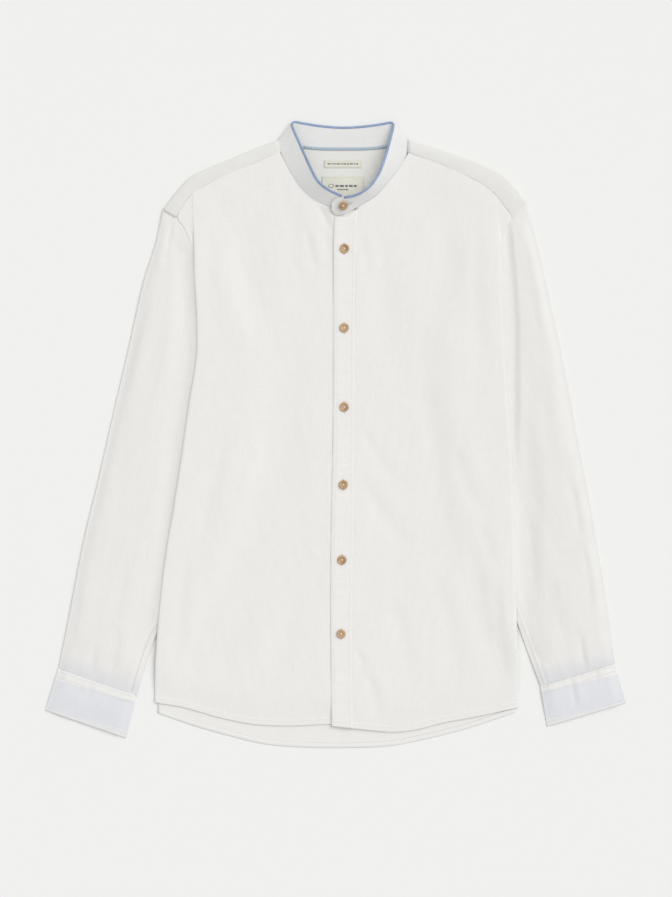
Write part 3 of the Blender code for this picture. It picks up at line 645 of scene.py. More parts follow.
HEM_STATIONS = [0, 0.5, 1.2, 3, 5, HEM_WIDTH - 0.9, HEM_WIDTH - 0.3, HEM_WIDTH + 0.3, HEM_WIDTH + 0.9, 10, 12]
TOP_STATIONS = [12, 9, 7, 5.4, 4.2, 3.4, 2.8, 2.3, 1.8, 1.2, 0.6, 0]
LAP = 2.2                     # how far the edge of a panel goes on under the piece that is sewn over it
LAP_DROP = 0.95
TAIL_LAP = 4.5                # the same for the tail of a front under the yoke
ARMHOLE_LAP = 6             # and for the top of a sleeve


def panel_rows(hem, top, count):
    """Heights along each column of a panel: close together in the hem and at the top seam."""
    low = hem[:, None] + np.array(HEM_STATIONS)[None]
    high = top[:, None] - np.array(TOP_STATIONS)[None]
    inner = np.linspace(0, 1, count + 2)[1:-1][None]
    middle = low[:, -1:] + (high[:, :1] - low[:, -1:]) * inner
    return np.concatenate([low, middle, high], axis=1)


def hem_band(above_hem):
    """The extra thickness of a hem turned up twice: soft at its fold, with a drop at its stitches."""
    return 0.5 * smoothstep(HEM_WIDTH + 0.5, HEM_WIDTH - 0.5, above_hem) * smoothstep(-0.2, 0.8, above_hem)


def make_back():
    columns, rows = 150, 170
    across = np.linspace(-1, 1, columns)
    side_yoke = np.where(across > 0, abs(YOKE_LEFT[-1][4]), abs(YOKE_RIGHT[-1][4]))[:, None]

    def x_at(y):
        edge = np.abs(by_side(across[:, None], fold_x, y)) - BACK_CLEAR
        at_armhole = side_yoke - 1.4 - 0.62 * (YOKE_BACK_SEAM - y)
        return across[:, None] * (edge + np.maximum(0, at_armhole - edge) * smoothstep(243, 250, y))

    hem = hem_back_y(x_at(np.full((columns, 1), -350.0)))[:, 0]
    y = panel_rows(hem, np.full(columns, YOKE_BACK_SEAM + 1.6), rows)
    x = x_at(np.minimum(y, YOKE_BACK_SEAM - SEAM))
    above = y - hem[:, None]
    inner = smoothstep(0, 30, above) * smoothstep(6, 40, YOKE_BACK_SEAM - y)
    dents = np.maximum(0, creases(BACK_CREASES, x, y) + 0.25 * ripple(x, y, 24, 80, seed=3)) * inner
    z = back_under(x, y) + dents + (SHELL + 0.1) * smoothstep(-0.9, -0.1, y - YOKE_BACK_SEAM)
    piece = cloth("back_cloth", np.stack([x, y, z], -1), SHELL, body_finish, ["back"])
    line_x = np.linspace(x[0, 3] + 1, x[-1, 3] - 1, 300)
    line_y = hem_back_y(line_x) + HEM_STITCH
    stitch("stitches_body", np.stack([line_x, line_y, back_under(line_x, line_y) + SHELL + 0.5], -1))
    # The turned-up hem lies on the inner side of the panel, which shows below the fronts.
    bands = np.array([HEM_WIDTH, HEM_WIDTH - 0.4, 3.5, 0.8, 0.15])
    lift = np.array([0.1, 0.5, 0.62, 0.5, 0.1])
    hem_x = x_at(hem[:, None] + bands[None])
    hem_line = hem[:, None] + bands[None]
    pucker = 0.18 * ripple(hem_x, hem_line, 3.2, 30, seed=9)
    hem_z = back_under(hem_x, hem_line) + SHELL + lift[None] + pucker
    turned = np.stack([hem_x * 0.9995, hem_line, hem_z], -1)
    hem_piece = cloth("back_hem_cloth", turned, 0.35, body_finish, [])
    return piece, hem_piece


def fold_profile(side, y, x, z):
    """A front's section from its side fold on: over the fold, then to the tail's end."""
    tail = tail_at[side](y)
    turned = smoothstep(2, -6, tail)
    half = 0.5 * FOLD * (1 - 0.8 * smoothstep(280, 304, y))
    low = z - FOLD
    low = np.where(y > 225, ARMHOLE_LEVEL + (low - ARMHOLE_LEVEL) * turned, low)
    lap = LAP * smoothstep(234, 240, y) + (TAIL_LAP - LAP) * smoothstep(280, 288, y)
    reach = side * (np.maximum(0, tail) + lap * smoothstep(311, 306, y))
    tuck = side * np.minimum(0, tail)
    low = low + 0.1 * smoothstep(240, 248, y)
    below = front_top(x + tuck, y, side) - 2
    low = np.where(tail < 0, np.minimum(low, np.maximum(below, back_under(x + tuck, y) + 0.75)), low)
    drop = z - low
    line = [(x, z),
            (x + side * half * 0.75, z - 0.2 * drop),
            (x + side * half, z - 0.5 * drop),
            (x + side * half * 0.8 + 0.25 * reach, z - (0.85 + 0.15 * (1 - turned)) * drop),
            (x + side * 0.2 * half + 0.6 * reach + 0.3 * tuck, low),
            (x + reach + tuck, low)]
    section = resample(np.stack([np.stack([a, y, b], -1) for a, b in line]), 18)[1:]
    beyond = section[..., 1] - yoke_seam_y[side](section[..., 0])
    section[..., 2] -= (LAP_DROP + 0.35) * smoothstep(-0.9, 0.3, beyond)
    return section


def front_top(x, y, side):
    """Height of the shown upper face of a front, creases and all."""
    base = front_over(x, y, side)
    hem = hem_y[side](x)
    sunk = (1.9 if side < 0 else 1.4) * smoothstep(40, 2, y - hem)
    free = smoothstep(0, 16, np.abs(fold_x[side](y)) - np.abs(x)) * smoothstep(0, 25, y - hem)
    drape = 0.55 * ripple(x, y, 30, 130, angle=side * -0.12, seed=1 + side)
    drape += 0.22 * ripple(x, y, 9, 34, angle=side * -0.2, seed=5 + side)
    lap = LAP_DROP * smoothstep(0, -1, front_seam_y(x, side) - y)
    if side > 0:
        lap = np.maximum(lap, 1 * smoothstep(0, -0.8, x - placket_x[1](y)))
    height = base - sunk + 1.05 * (creases(FRONT_CREASES[side], x, y) + drape) * (0.25 + 0.75 * free)
    floor = back_under(x, y) + 2 * SHELL + 0.35 + 0.6 * smoothstep(8, 40, y - hem)
    return np.maximum(height, floor) - lap


def make_front(side):
    corner = abs(yoke_rows[side][0][2])
    shift = SEAM if side > 0 else -2

    def centre_x(y):
        return placket_x[1](y) + shift

    def x_at(u, y):
        return centre_x(y) + u * (fold_x[side](y) - centre_x(y))

    neck_share = float((side * corner - centre_x(300)) / (fold_x[side](306) - centre_x(300)))
    under_placket = [-0.015, -0.009, -0.006, -0.003, 0, 0.003] if side > 0 else [0]
    shares = np.concatenate([under_placket, np.linspace(0.008, neck_share, 33),
                             np.linspace(neck_share, 1, 44)[1:]])
    inner = shares <= neck_share + 1e-9
    top = np.full(len(shares), 300.0)
    for _ in range(30):
        x = x_at(shares, top)
        wanted = np.where(inner, neck_y[side](x) + 1.3, yoke_seam_y[side](x) + LAP)
        top = top + 0.5 * (wanted - top)
    hem = hem_y[side](x_at(shares, np.full(len(shares), -350.0)))
    y = panel_rows(hem, top, 210)
    x = x_at(shares[:, None], y)
    above = y - hem[:, None]
    edge = np.abs(ripple(x, y, 3.6, 40, seed=12)) * smoothstep(HEM_WIDTH + 4, HEM_WIDTH - 1, above)
    z = front_top(x, y, side) + hem_band(above) + 0.35 * edge
    grid = np.stack([x, y, z], -1)
    grid = np.concatenate([grid, fold_profile(side, y[-1], x[-1], z[-1])])
    if side > 0:
        grid = grid[::-1]
    name = "front_" + SIDE_NAME[side]
    piece = cloth(name + "_cloth", grid, SHELL, body_finish, [name])
    first = -14 if side < 0 else 14
    last = float(fold_x[side](-350)) - side * 1
    line_x = np.linspace(first, last, 200)
    line_y = hem_y[side](line_x) + HEM_STITCH
    line_z = front_top(line_x, line_y, side) + hem_band(HEM_STITCH)
    stitch("stitches_body", np.stack([line_x, line_y, line_z], -1))
    return piece


def placket_over(x, y):
    return front_over(np.minimum(x, 0), y, -1) + SEAM + PLACKET_WALL


def placket_top(x, y):
    """Height of the placket's shown face: lifted at its free edge, with small puckers along its stitches."""
    left, right = placket_x[-1](y), placket_x[1](y)
    share = np.clip((x - left) / (right - left), 0, 1)
    lift = (0.2 + 1 * smoothstep(190, 240, y)) * smoothstep(0.6, 0, share)
    to_edge = np.minimum(x - left, right - x)
    rolled = -0.75 * smoothstep(2.6, 0, to_edge)
    puckers = 0.34 * ripple(x, y, 26, 5, angle=0.1, seed=20) * smoothstep(0.3, 2.5, to_edge)
    seam_puckers = 0.3 * ripple(x, y, 9, 2.6, seed=24) * np.exp(-((right - 4.6 - x) / 2.4) ** 2)
    waves = 0.4 * ripple(x, y, 60, 26, angle=0.35, seed=28)
    ditch = -0.18 * np.exp(-((right - 4.6 - x) / 0.7) ** 2) - 0.12 * np.exp(-((x - left - 4.4) / 0.7) ** 2)
    return placket_over(x, y) + lift + rolled + puckers + seam_puckers + waves + ditch


def make_placket():
    low_edge = [0, 0.25, 0.6, 1.1, 2, 3.2, 4, 4.4, 4.8, 5.6]
    rows = 330
    shares = np.concatenate([np.array(low_edge) / 27, np.linspace(0.25, 0.78, 12),
                             1 - np.array([5.6, 5, 4.6, 4.2, 3.4, 2.4, 1.4, 0.8, 0.35, 0]) / 27])
    top = 275.6 + 9 * smoothstep(0.45, 1, shares)
    bottom = hem_y[1](-14 + 27 * shares)
    v = np.linspace(0, 1, rows)[None]
    y = bottom[:, None] + (top - bottom)[:, None] * v
    x = placket_x[-1](y) + shares[:, None] * (placket_x[1](y) - placket_x[-1](y))
    z = placket_top(x, y) - 0.4 * smoothstep(1.5, 0, y - bottom[:, None])
    piece = cloth("placket_cloth", np.stack([x, y, z], -1)[::-1], PLACKET_WALL, placket_finish,
                  ["placket"])
    y = np.linspace(-366, 272, 500)
    for from_right in (1.4, 4.6):
        x = placket_x[1](y) - from_right
        stitch("stitches_body", np.stack([x, y, placket_top(x, y)], -1))
    x = placket_x[-1](y) + 4.4
    stitch("stitches_body", np.stack([x, y, placket_top(x, y)], -1))
    x = np.linspace(-13, 11, 30)
    y = hem_y[1](x) + HEM_STITCH
    stitch("stitches_body", np.stack([x, y, placket_top(x, y)], -1))
    return piece


# ---- the yoke ----

def make_yoke():
    """The yoke: flat under the shoulders, folded over each shoulder to the seam with the front."""
    count = 70
    fold_inset = 2.4
    grids = []
    ends = {}
    for side in (-1, 1):
        rows = rows_at(yoke_rows[side], np.linspace(0, len(yoke_rows[side]) - 1, count))
        shoulder, front = rows[:, 0:2], rows[:, 2:4]
        back = np.stack([rows[:, 4], np.full(count, YOKE_BACK_SEAM)], -1)
        level = SEAM_LEVEL + (ARMHOLE_LEVEL - SEAM_LEVEL) * np.linspace(0, 1, count)
        stop = 1 - fold_inset / np.maximum(10, shoulder[:, 1] - back[:, 1])
        line = []
        for t in np.linspace(0, 1, 24):
            flat = back + (shoulder - back) * (stop * t)[:, None]
            line.append(np.column_stack([flat, np.zeros(count)]))
        back_part = np.stack(line, 1)
        reach = np.linalg.norm(front - shoulder, axis=1)
        over = (front - shoulder) / reach[:, None]
        flap = [back_part[:, -1]]
        for angle in np.linspace(0, math.pi, 11)[1:]:
            inset = fold_inset * (1 - math.sin(angle))
            toward = over if angle > math.pi / 2 else unit(back - shoulder)
            flap.append(np.column_stack([shoulder + toward * inset, 0.5 * level * (1 - math.cos(angle))]))
        start = fold_inset / reach
        for s in np.concatenate([np.linspace(0, 1, 12)[1:-1], [0.94, 0.975, 1]]):
            share = start + (1 + 0.8 / reach - start) * s
            flat = shoulder + (front - shoulder) * share[:, None]
            puff = 0.6 * math.sin(math.pi * s) + 0.35 * ripple(flat[:, 0], flat[:, 1], 16, 11, seed=31)
            rolled = -0.3 * smoothstep(0.96, 1, s)
            flap.append(np.column_stack([flat, level + puff * smoothstep(0, 0.2, s) + rolled + 0.35]))
        flap = np.stack(flap, 1)
        outward = unit(flap[-1] - flap[-2])
        past_fold = smoothstep(5, 11, np.arange(len(flap[0])))[:, None]
        flap[-1] += outward * past_fold * 2.8
        at_end = smoothstep(count - 7, count - 1, np.arange(count))[:, None] * past_fold[:, 0]
        flap[..., 2] += (level[:, None] + 0.12 - flap[..., 2]) * at_end
        to_neck = flap[0] - flap[1]
        to_neck[:, 2] = 0
        to_neck /= np.maximum(1e-6, np.linalg.norm(to_neck, axis=1))[:, None]
        flap[0] += (to_neck * 2.2 - np.array([0, 0, 0.5])) * past_fold
        ends[side] = back_part[0]
        order = slice(None, None, -1) if side < 0 else slice(None)
        grids += [back_part[order], flap[order]]
        line = flap[2:-1, -1] + unit(flap[2:-1, -4] - flap[2:-1, -1]) * 2
        line[:, 2] = flap[2:-1, -3, 2]
        stitch("stitches_body", line)
    columns = 44
    steps = np.linspace(0, 1, columns)
    high_x = ends[-1][-1, 0] + (ends[1][-1, 0] - ends[-1][-1, 0]) * steps
    low_x = ends[-1][0, 0] + (ends[1][0, 0] - ends[-1][0, 0]) * steps
    t = np.linspace(0, 1, 24)[None]
    high_y = neck_back_y(high_x) - SEAM
    x = low_x[:, None] + (high_x - low_x)[:, None] * t
    y = YOKE_BACK_SEAM + (high_y - YOKE_BACK_SEAM)[:, None] * t
    middle = np.stack([x, y, np.zeros_like(x)], -1)
    middle[0], middle[-1] = ends[-1], ends[1]
    grids.append(middle)
    points, faces, base = [], [], 0
    for grid in grids:
        points.append(grid.reshape(-1, 3))
        faces.append(grid_faces(grid.shape[0], grid.shape[1], False) + base)
        base += len(points[-1])
    piece = mesh_object("yoke_cloth", np.concatenate(points), np.concatenate(faces), yoke_finish)
    welded(piece)
    shell(piece, SHELL)
    return settle(piece, ["yoke"])


# ---- sleeves and cuffs ----

valley_x = spline(SLEEVE_VALLEY)


def sleeve_height(x, y, side, along):
    """Height of a sleeve's upper face: low where the body lies on it, fuller outside the side fold."""
    outside = np.abs(x) - np.abs(fold_x[side](y))
    below_exit = smoothstep(-268, -300, y)
    full = ARMHOLE_LEVEL + (OPEN_SLEEVE - ARMHOLE_LEVEL) * smoothstep(0, 0.1, along)
    full = full + (CUFF_HEIGHT - 1.3 - full) * smoothstep(0.915, 0.998, along)
    low = TUCKED_SLEEVE + (BESIDE_FOLD - TUCKED_SLEEVE) * smoothstep(-5, 0, outside)
    sunk = 1 - np.clip(1 - outside / BESIDE_RAMP, 0, 1) ** 2
    low = low - (BESIDE_FOLD - BESIDE_FOOT) * sunk * (outside > 0)
    free = np.maximum(smoothstep(BESIDE_RAMP - 4, 3 * BESIDE_RAMP, outside), below_exit)
    seen = np.maximum(smoothstep(-1, 5, outside), below_exit)
    height = low + (full - low) * free
    if side > 0:
        valley = valley_x(y)
        depth = smoothstep(-95, 40, y)
        wall_foot = valley - STRIP_WALL - fold_x[1](y)
        strip = STRIP_TOP + (STRIP_FOOT - STRIP_TOP) * smoothstep(-0.4 * wall_foot, wall_foot, outside)
        strip = strip + (low - strip) * smoothstep(0, -4, outside)
        up = np.clip((np.abs(x) - valley + STRIP_WALL) / STRIP_WALL, 0, 1.3)
        stepped = strip + (full + 0.2 - strip) * np.minimum(1, up ** 1.6)
        height = height + (stepped - height) * depth
    beyond_tail = outside - np.maximum(0, tail_at[side](y))
    flush = ARMHOLE_LEVEL + (full - ARMHOLE_LEVEL) * smoothstep(2, 16, beyond_tail)
    height = height + (flush - height) * smoothstep(226, 246, y) * smoothstep(FLUSH[side], 0, beyond_tail)
    relief = creases(SLEEVE_CREASES[side], x, y) + 0.5 * ripple(x, y, 18, 90, side * 0.25, seed=40 + side)
    relief += 0.22 * ripple(x, y, 6, 22, side * 0.25, seed=44 + side)
    gathers = 0.7 * ripple(x, y, 6, 60, side * 0.3, seed=48 + side) * smoothstep(0.9, 0.985, along)
    inside_ends = smoothstep(0, 0.03, along) * smoothstep(1, 0.985, along)
    return np.maximum(height + (relief + gathers) * inside_ends * seen, 1.7)


def cuff_height(x, y, side, along):
    relief = 0.35 * ripple(x, y, 12, 20, side * 0.3, seed=60 + side)
    band = 0.35 * smoothstep(CUFF_BAND + 0.02, CUFF_BAND - 0.02, along)
    puckers = 0.3 * ripple(x, y, 3, 12, side * 0.3, seed=64) * smoothstep(0.3, 0.1, along)
    end = 0.3 * smoothstep(0.88, 0.92, along) - 3.2 * smoothstep(0.45, 1.06, along)
    rolled = -0.75 * smoothstep(0.025, 0, along)
    return CUFF_HEIGHT + relief + band + puckers + end + rolled + creases(CUFF_CREASES[side], x, y)


def tube_rings(table, side, stations, height_of, fell):
    """Rings of a flattened tube: flat on the table, round at both folds, its upper face by height_of."""
    rows = rows_at(table, stations * (len(table) - 1))
    rings = []
    for row, along in zip(rows, stations):
        outer, inner, bow = row[0:2], row[2:4], row[4]
        thinned = 0.58 * (smoothstep(0, 0.08, along) if fell else 1)
        across = inner - outer
        width = float(np.hypot(*across))
        normal = np.array((across[1], -across[0])) / width * side

        def plan(share):
            share = np.atleast_1d(share)
            lean = np.sin(np.pi * np.clip(share, 0, 1) ** 0.7) * bow
            return outer + across * share[:, None] + normal * lean[:, None]

        def height(share):
            at = plan(share)
            z = height_of(at[:, 0], at[:, 1], side, along)
            from_fold = np.minimum(share, 1 - np.atleast_1d(share)) * width
            z = z * (1 - thinned * (1 - smoothstep(-2, FOLD_ROUND, from_fold)))
            if fell:
                inset = (1 - np.atleast_1d(share)) * width
                on_fell = smoothstep(FELL_WIDTH + 0.5, FELL_WIDTH - 0.5, inset)
                z = z + on_fell * (0.6 + 0.45 * ripple(at[:, 1], at[:, 0] * 0, 3, 1, seed=70))
            return z

        end_outer, end_inner = float(height(0.02)[0]), float(height(0.985)[0])
        first, last = 0.5 * end_outer / width, 1 - 0.5 * end_inner / width
        near_inner = 1 - np.array([12, 10, 8.9, 8.2, 7.6, 6.6, 5]) / width
        top = np.concatenate([np.linspace(first, near_inner[0], 44)[:-1], near_inner, [last]])
        low_shares = np.linspace(first, last, 26)
        low = plan(low_shares)
        dents = np.maximum(0, 0.5 * ripple(low[:, 0], low[:, 1], 14, 70, side * 0.25, seed=52))
        dents *= smoothstep(0, 0.12, low_shares) * smoothstep(1, 0.88, low_shares)
        ring = [np.column_stack([low, dents])]
        arc = np.linspace(0, math.pi, 9)[1:-1]
        for angles, share, end, sign in ((arc, last, end_inner, 1), (arc[::-1], first, end_outer, -1)):
            round_end = plan(share + sign * np.sin(angles) * 0.5 * end / width)
            edge = np.column_stack([round_end, 0.5 * end * (1 - np.cos(angles))])
            if sign > 0:
                ring.append(edge)
                ring.append(np.column_stack([plan(top[::-1]), height(top[::-1])]))
            else:
                ring.append(edge)
        rings.append(np.concatenate(ring))
    return np.stack(rings)


def lapped(rings, ends):
    """Adds rings that go on inside the neighbouring piece, beyond the first (0) or last (-1) ring.

    ends gives, for each of those ends, how far the cloth goes on and how far it draws in there.
    """
    for end, (reach, depth) in ends.items():
        here, before = (rings[0], rings[3]) if end == 0 else (rings[-1], rings[-4])
        ahead = here - before
        ahead[:, 2] = 0
        ahead /= np.linalg.norm(ahead, axis=1)[:, None]
        outer, inner = here[np.argmax(np.abs(here[:, 0]))], here[np.argmin(np.abs(here[:, 0]))]
        across = (inner - outer)[:2]
        share = (here[:, :2] - outer[:2]) @ across / float(across @ across)
        ahead *= (0.2 + 0.8 * smoothstep(0.02, 0.2, share))[:, None]
        extra = []
        for distance, sunk in ((1.2, 0.12), (2.2, 0.7), (reach, 1)):
            ring = here + ahead * distance
            half = 0.5 * here[:, 2].max()
            ring[:, 2] = here[:, 2] + depth * sunk * np.clip((half - here[:, 2]) / half, -1, 1)
            extra.append(ring)
        rings = np.concatenate([extra[::-1], rings]) if end == 0 else np.concatenate([rings, extra])
    return rings


def top_line(table, side, stations, share_at, height_of, lift=0.05):
    """A line over the upper face of a tube: one share of the width at each station."""
    rows = rows_at(table, stations * (len(table) - 1))
    width = np.hypot(rows[:, 2] - rows[:, 0], rows[:, 3] - rows[:, 1])
    share = share_at(width)
    x = rows[:, 0] + (rows[:, 2] - rows[:, 0]) * share
    y = rows[:, 1] + (rows[:, 3] - rows[:, 1]) * share
    z = np.array([float(height_of(np.array([a]), np.array([b]), side, t)[0])
                  for a, b, t in zip(x, y, stations)])
    return np.column_stack([x, y, z + lift])


def cross_line(table, side, along, height_of, lift):
    """A line straight across a tube's upper face."""
    row = rows_at(table, np.array([along * (len(table) - 1)]))[0]
    share = np.linspace(0.03, 0.97, 60)
    x = row[0] + (row[2] - row[0]) * share
    y = row[1] + (row[3] - row[1]) * share
    return np.column_stack([x, y, height_of(x, y, side, along) + lift])


def make_sleeve(side):
    stations = np.concatenate([np.linspace(0, 0.9, 130)[:-1], np.linspace(0.9, 1, 26)])
    rings = lapped(tube_rings(sleeve_rows[side], side, stations, sleeve_height, True),
                   {0: (ARMHOLE_LAP, 0.75), -1: (LAP, 0.35)})
    if side > 0:
        rings = rings[::-1]
    name = "sleeve_" + SIDE_NAME[side]
    piece = cloth(name + "_cloth", rings, SHELL, sleeve_finish[side], [name], closed=True)
    run = np.linspace(0.56, 0.995, 260)
    stitch("stitches_sleeves", top_line(sleeve_rows[side], side, run, lambda w: 1 - (FELL_WIDTH - 1.2) / w,
                                        sleeve_height, 0.55))
    return piece


def make_cuff(side):
    table = CUFF_LEFT if side > 0 else CUFF_RIGHT
    stations = np.concatenate([np.linspace(0, CUFF_BAND, 16)[:-1], [CUFF_BAND, CUFF_BAND + 0.01],
                               np.linspace(CUFF_BAND + 0.03, 1, 34)])
    rings = tube_rings(table, side, stations, cuff_height, False)
    if side > 0:
        rings = rings[::-1]
    name = "cuff_" + SIDE_NAME[side]
    piece = cloth(name + "_cloth", rings, SHELL, [cuff_finish[side], cuff_band_finish, cuff_edge_finish],
                  [name], closed=True)
    seam, end = (0.5 * (np.array(row[0:2]) + np.array(row[2:4])) for row in table)
    length = float(np.linalg.norm(end - seam))
    direction = (end - seam) / length
    for face in piece.data.polygons:
        centre = np.array([face.center.x, face.center.y]) / MM
        along = float(np.dot(centre - seam, direction)) / length
        ragged = 0.012 * float(ripple(centre[:1], centre[1:], 3, 3, seed=66)[0])
        face.material_index = 1 if along < CUFF_BAND + ragged else 2 if along > 0.9 + ragged else 0
    for along, lift in ((0.04, 0.05), (CUFF_BAND - 0.035, 0.05), (0.9, 0.05)):
        stitch("stitches_sleeves", cross_line(table, side, along, cuff_height, lift))
    return piece


# ---- the collar ----

def band_frame(positions):
    """Base, top, full height and outward direction of the collar band at fractional rows."""
    rows = rows_at(COLLAR, positions)
    base, top = rows[:, 0:3], rows[:, 3:6]
    full = np.linalg.norm(top - base, axis=1)
    up = (top - base) / full[:, None]
    ahead = unit(np.gradient(0.5 * (base + top), axis=0))
    return base, up, full, unit(np.cross(up, ahead))


def make_band():
    last = len(COLLAR) - 1
    positions = np.linspace(0, last, 470)
    base, up, full, outward = band_frame(positions)
    under_binding = smoothstep(BINDING_END + 0.06, BINDING_END - 0.06, positions)
    stop = full - 1.2 * under_binding
    shares = np.concatenate([[0, 0.02, 0.05, 0.09, 0.14], np.linspace(0.2, 0.94, 12), [0.97, 1]])
    lines = []
    for share in shares:
        height = stop * share
        soft = 0.3 * ripple(positions * 7, height, 9, 16, seed=80) * math.sin(math.pi * share)
        shoulder_folds = (-0.9 * np.exp(-((positions - 6.2) / 0.28) ** 2)
                          - 0.7 * np.exp(-((positions - 7.1) / 0.2) ** 2))
        relief = soft + shoulder_folds * math.sin(math.pi * min(1, share * 1.1)) * 0.8
        seam_roll = -0.25 * math.exp(-(share / 0.03) ** 2)
        free_edge = 0.3 * smoothstep(0.9, 1, share) * (1 - under_binding)
        lines.append(base + up * height[:, None] + outward * (relief + seam_roll - free_edge)[:, None])
    grid = np.stack(lines)[::-1]
    piece = cloth("collar_band_cloth", grid, COLLAR_WALL - 0.3, collar_finish, ["collar_band"])
    b, u, f, o = band_frame(np.linspace(0.3, last - 0.6, 500))
    stitch("stitches_collar", b + u * 1.6 + o * 0.05, up=o)
    b, u, f, o = band_frame(np.linspace(BINDING_END, last - 0.35, 60))
    stitch("stitches_collar", b + u * (f - 1.8)[:, None] + o * 0.05, up=o)
    return piece


def make_binding():
    """The bias binding, folded over the upper edge of the band, from its under end to beside the button."""
    positions = np.linspace(0, BINDING_END, 430)
    base, up, full, outward = band_frame(positions)
    wall = COLLAR_WALL - 0.3
    # The section: how far outward and how far above the full height, from the outer side over to the inner.
    section = [(-0.1, -2.9), (0.42, -2.75), (0.5, -1.6), (0.42, -0.6), (0.05, 0), (-0.5 * wall, 0.2),
               (-wall - 0.05, 0), (-wall - 0.42, -0.6), (-wall - 0.5, -1.6), (-wall - 0.42, -2.75),
               (-wall + 0.1, -2.9), (-0.5 * wall, -2.6)]
    rings = [base + up * (full + high)[:, None] + outward * out for out, high in section]
    grid = np.stack(rings, axis=1)
    faces = grid_faces(grid.shape[0], grid.shape[1], True)[:, ::-1]
    count = len(section)
    points = grid.reshape(-1, 3)
    piece = mesh_object("collar_binding_cloth", points, faces, binding_finish())
    work = bmesh.new()
    work.from_mesh(piece.data)
    work.verts.ensure_lookup_table()
    work.faces.new([work.verts[i] for i in range(count)])
    work.faces.new([work.verts[len(points) - count + i] for i in reversed(range(count))])
    bmesh.ops.recalc_face_normals(work, faces=work.faces)
    work.to_mesh(piece.data)
    work.free()
    return settle(piece, ["collar_binding"])


def make_tape():
    """The twill tape over the back neck seam, slightly ribbed across."""
    count = 260
    x = np.linspace(-60, 60, count)
    y = neck_back_y(x) + 0.8
    level = 2.3 + 0.9 * smoothstep(36, 60, np.abs(x))
    lines = []
    for share, lift in ((0.5, -0.35), (0.42, -0.05), (0.2, 0.08), (0, 0), (-0.2, 0.08), (-0.42, -0.05),
                        (-0.5, -0.35)):
        rib = 0.16 * np.sin(2 * np.pi * (x / 3 + share * 1.3))
        lines.append(np.column_stack([x, y + share * TAPE_WIDTH, level + lift + rib + 1.1 * share]))
    return cloth("neck_tape_cloth", np.stack(lines)[::-1], 0.6, tape_finish(), ["neck_tape"])


def box_strip(x0, y0, x1, y1, z, height):
    """Points and faces of a small raised woven mark."""
    points = []
    for inset, level in ((0, z), (0.12, z + height)):
        left, right, near, far = x0 + inset, x1 - inset, y0 + inset, y1 - inset
        points += [(left, near, level), (right, near, level), (right, far, level), (left, far, level)]
    faces = [(3, 2, 1, 0), (4, 5, 6, 7)] + [(i, (i + 1) % 4, 4 + (i + 1) % 4, 4 + i) for i in range(4)]
    return points, faces


def joined_marks(name, boxes, finish):
    points, faces = [], []
    for box_points, box_faces in boxes:
        faces += [tuple(i + len(points) for i in face) for face in box_faces]
        points += box_points
    piece = mesh_object(name, points, faces, finish)
    return settle(piece, [])


def make_labels():
    """Two woven labels with plain dashes and an oval ring in place of any wording."""
    made = []
    finish = label_finish()
    for name, (centre_y, width, height) in LABELS.items():
        columns, rows = 56, 34
        x = np.linspace(-0.5, 0.5, columns)[:, None] * width + np.zeros((1, rows))
        y = centre_y + np.linspace(-0.5, 0.5, rows)[None] * height + np.zeros((columns, 1))
        to_edge = np.minimum(0.5 * width - np.abs(x), 0.5 * height - np.abs(y - centre_y))
        z = LABEL_LEVEL - 0.25 * smoothstep(1.2, 0, to_edge) + 0.25 * ripple(x, y, 16, 12, seed=90)
        made.append(cloth(name + "_cloth", np.stack([x, y, z], -1)[::-1], 0.4, finish, [name]))
        inset = 1.4
        corners = [(-1, -1), (1, -1), (1, 1), (-1, 1), (-1, -1)]
        half_width, half_height = 0.5 * width - inset, 0.5 * height - inset
        edge = np.array([(sx * half_width, centre_y + sy * half_height, LABEL_LEVEL + 0.15)
                         for sx, sy in corners])
        stitch("stitches_collar", edge, pitch=2.2)
    mark = thread_finish("mark_grey", MARK_GREY)
    level = LABEL_LEVEL + 0.2
    dashes = []
    for name, x, low, high, gap, height, lengths in LABEL_DASHES:
        middle = LABELS[name][0]
        for length in lengths:
            dashes.append(box_strip(x, middle + low, x + length, middle + high, level, height))
            x += length + gap
    joined_marks("label_marks", dashes, mark)
    turn = np.linspace(0, 2 * np.pi, 49)[:-1]
    ring_y = LABELS["label_large"][0] + 4.4
    ring = []
    for radius, z in ((0.85, 0), (0.92, 0.2), (1, 0.2), (1.07, 0)):
        ring.append(np.column_stack([-15 + 3.4 * radius * np.cos(turn), ring_y + 2.3 * radius * np.sin(turn),
                                     np.full(len(turn), level + z - 0.04)]))
    cloth("label_ring", np.stack(ring)[::-1], 0.1, mark, [], closed=True)
    return made


# ---- buttons and buttonholes ----

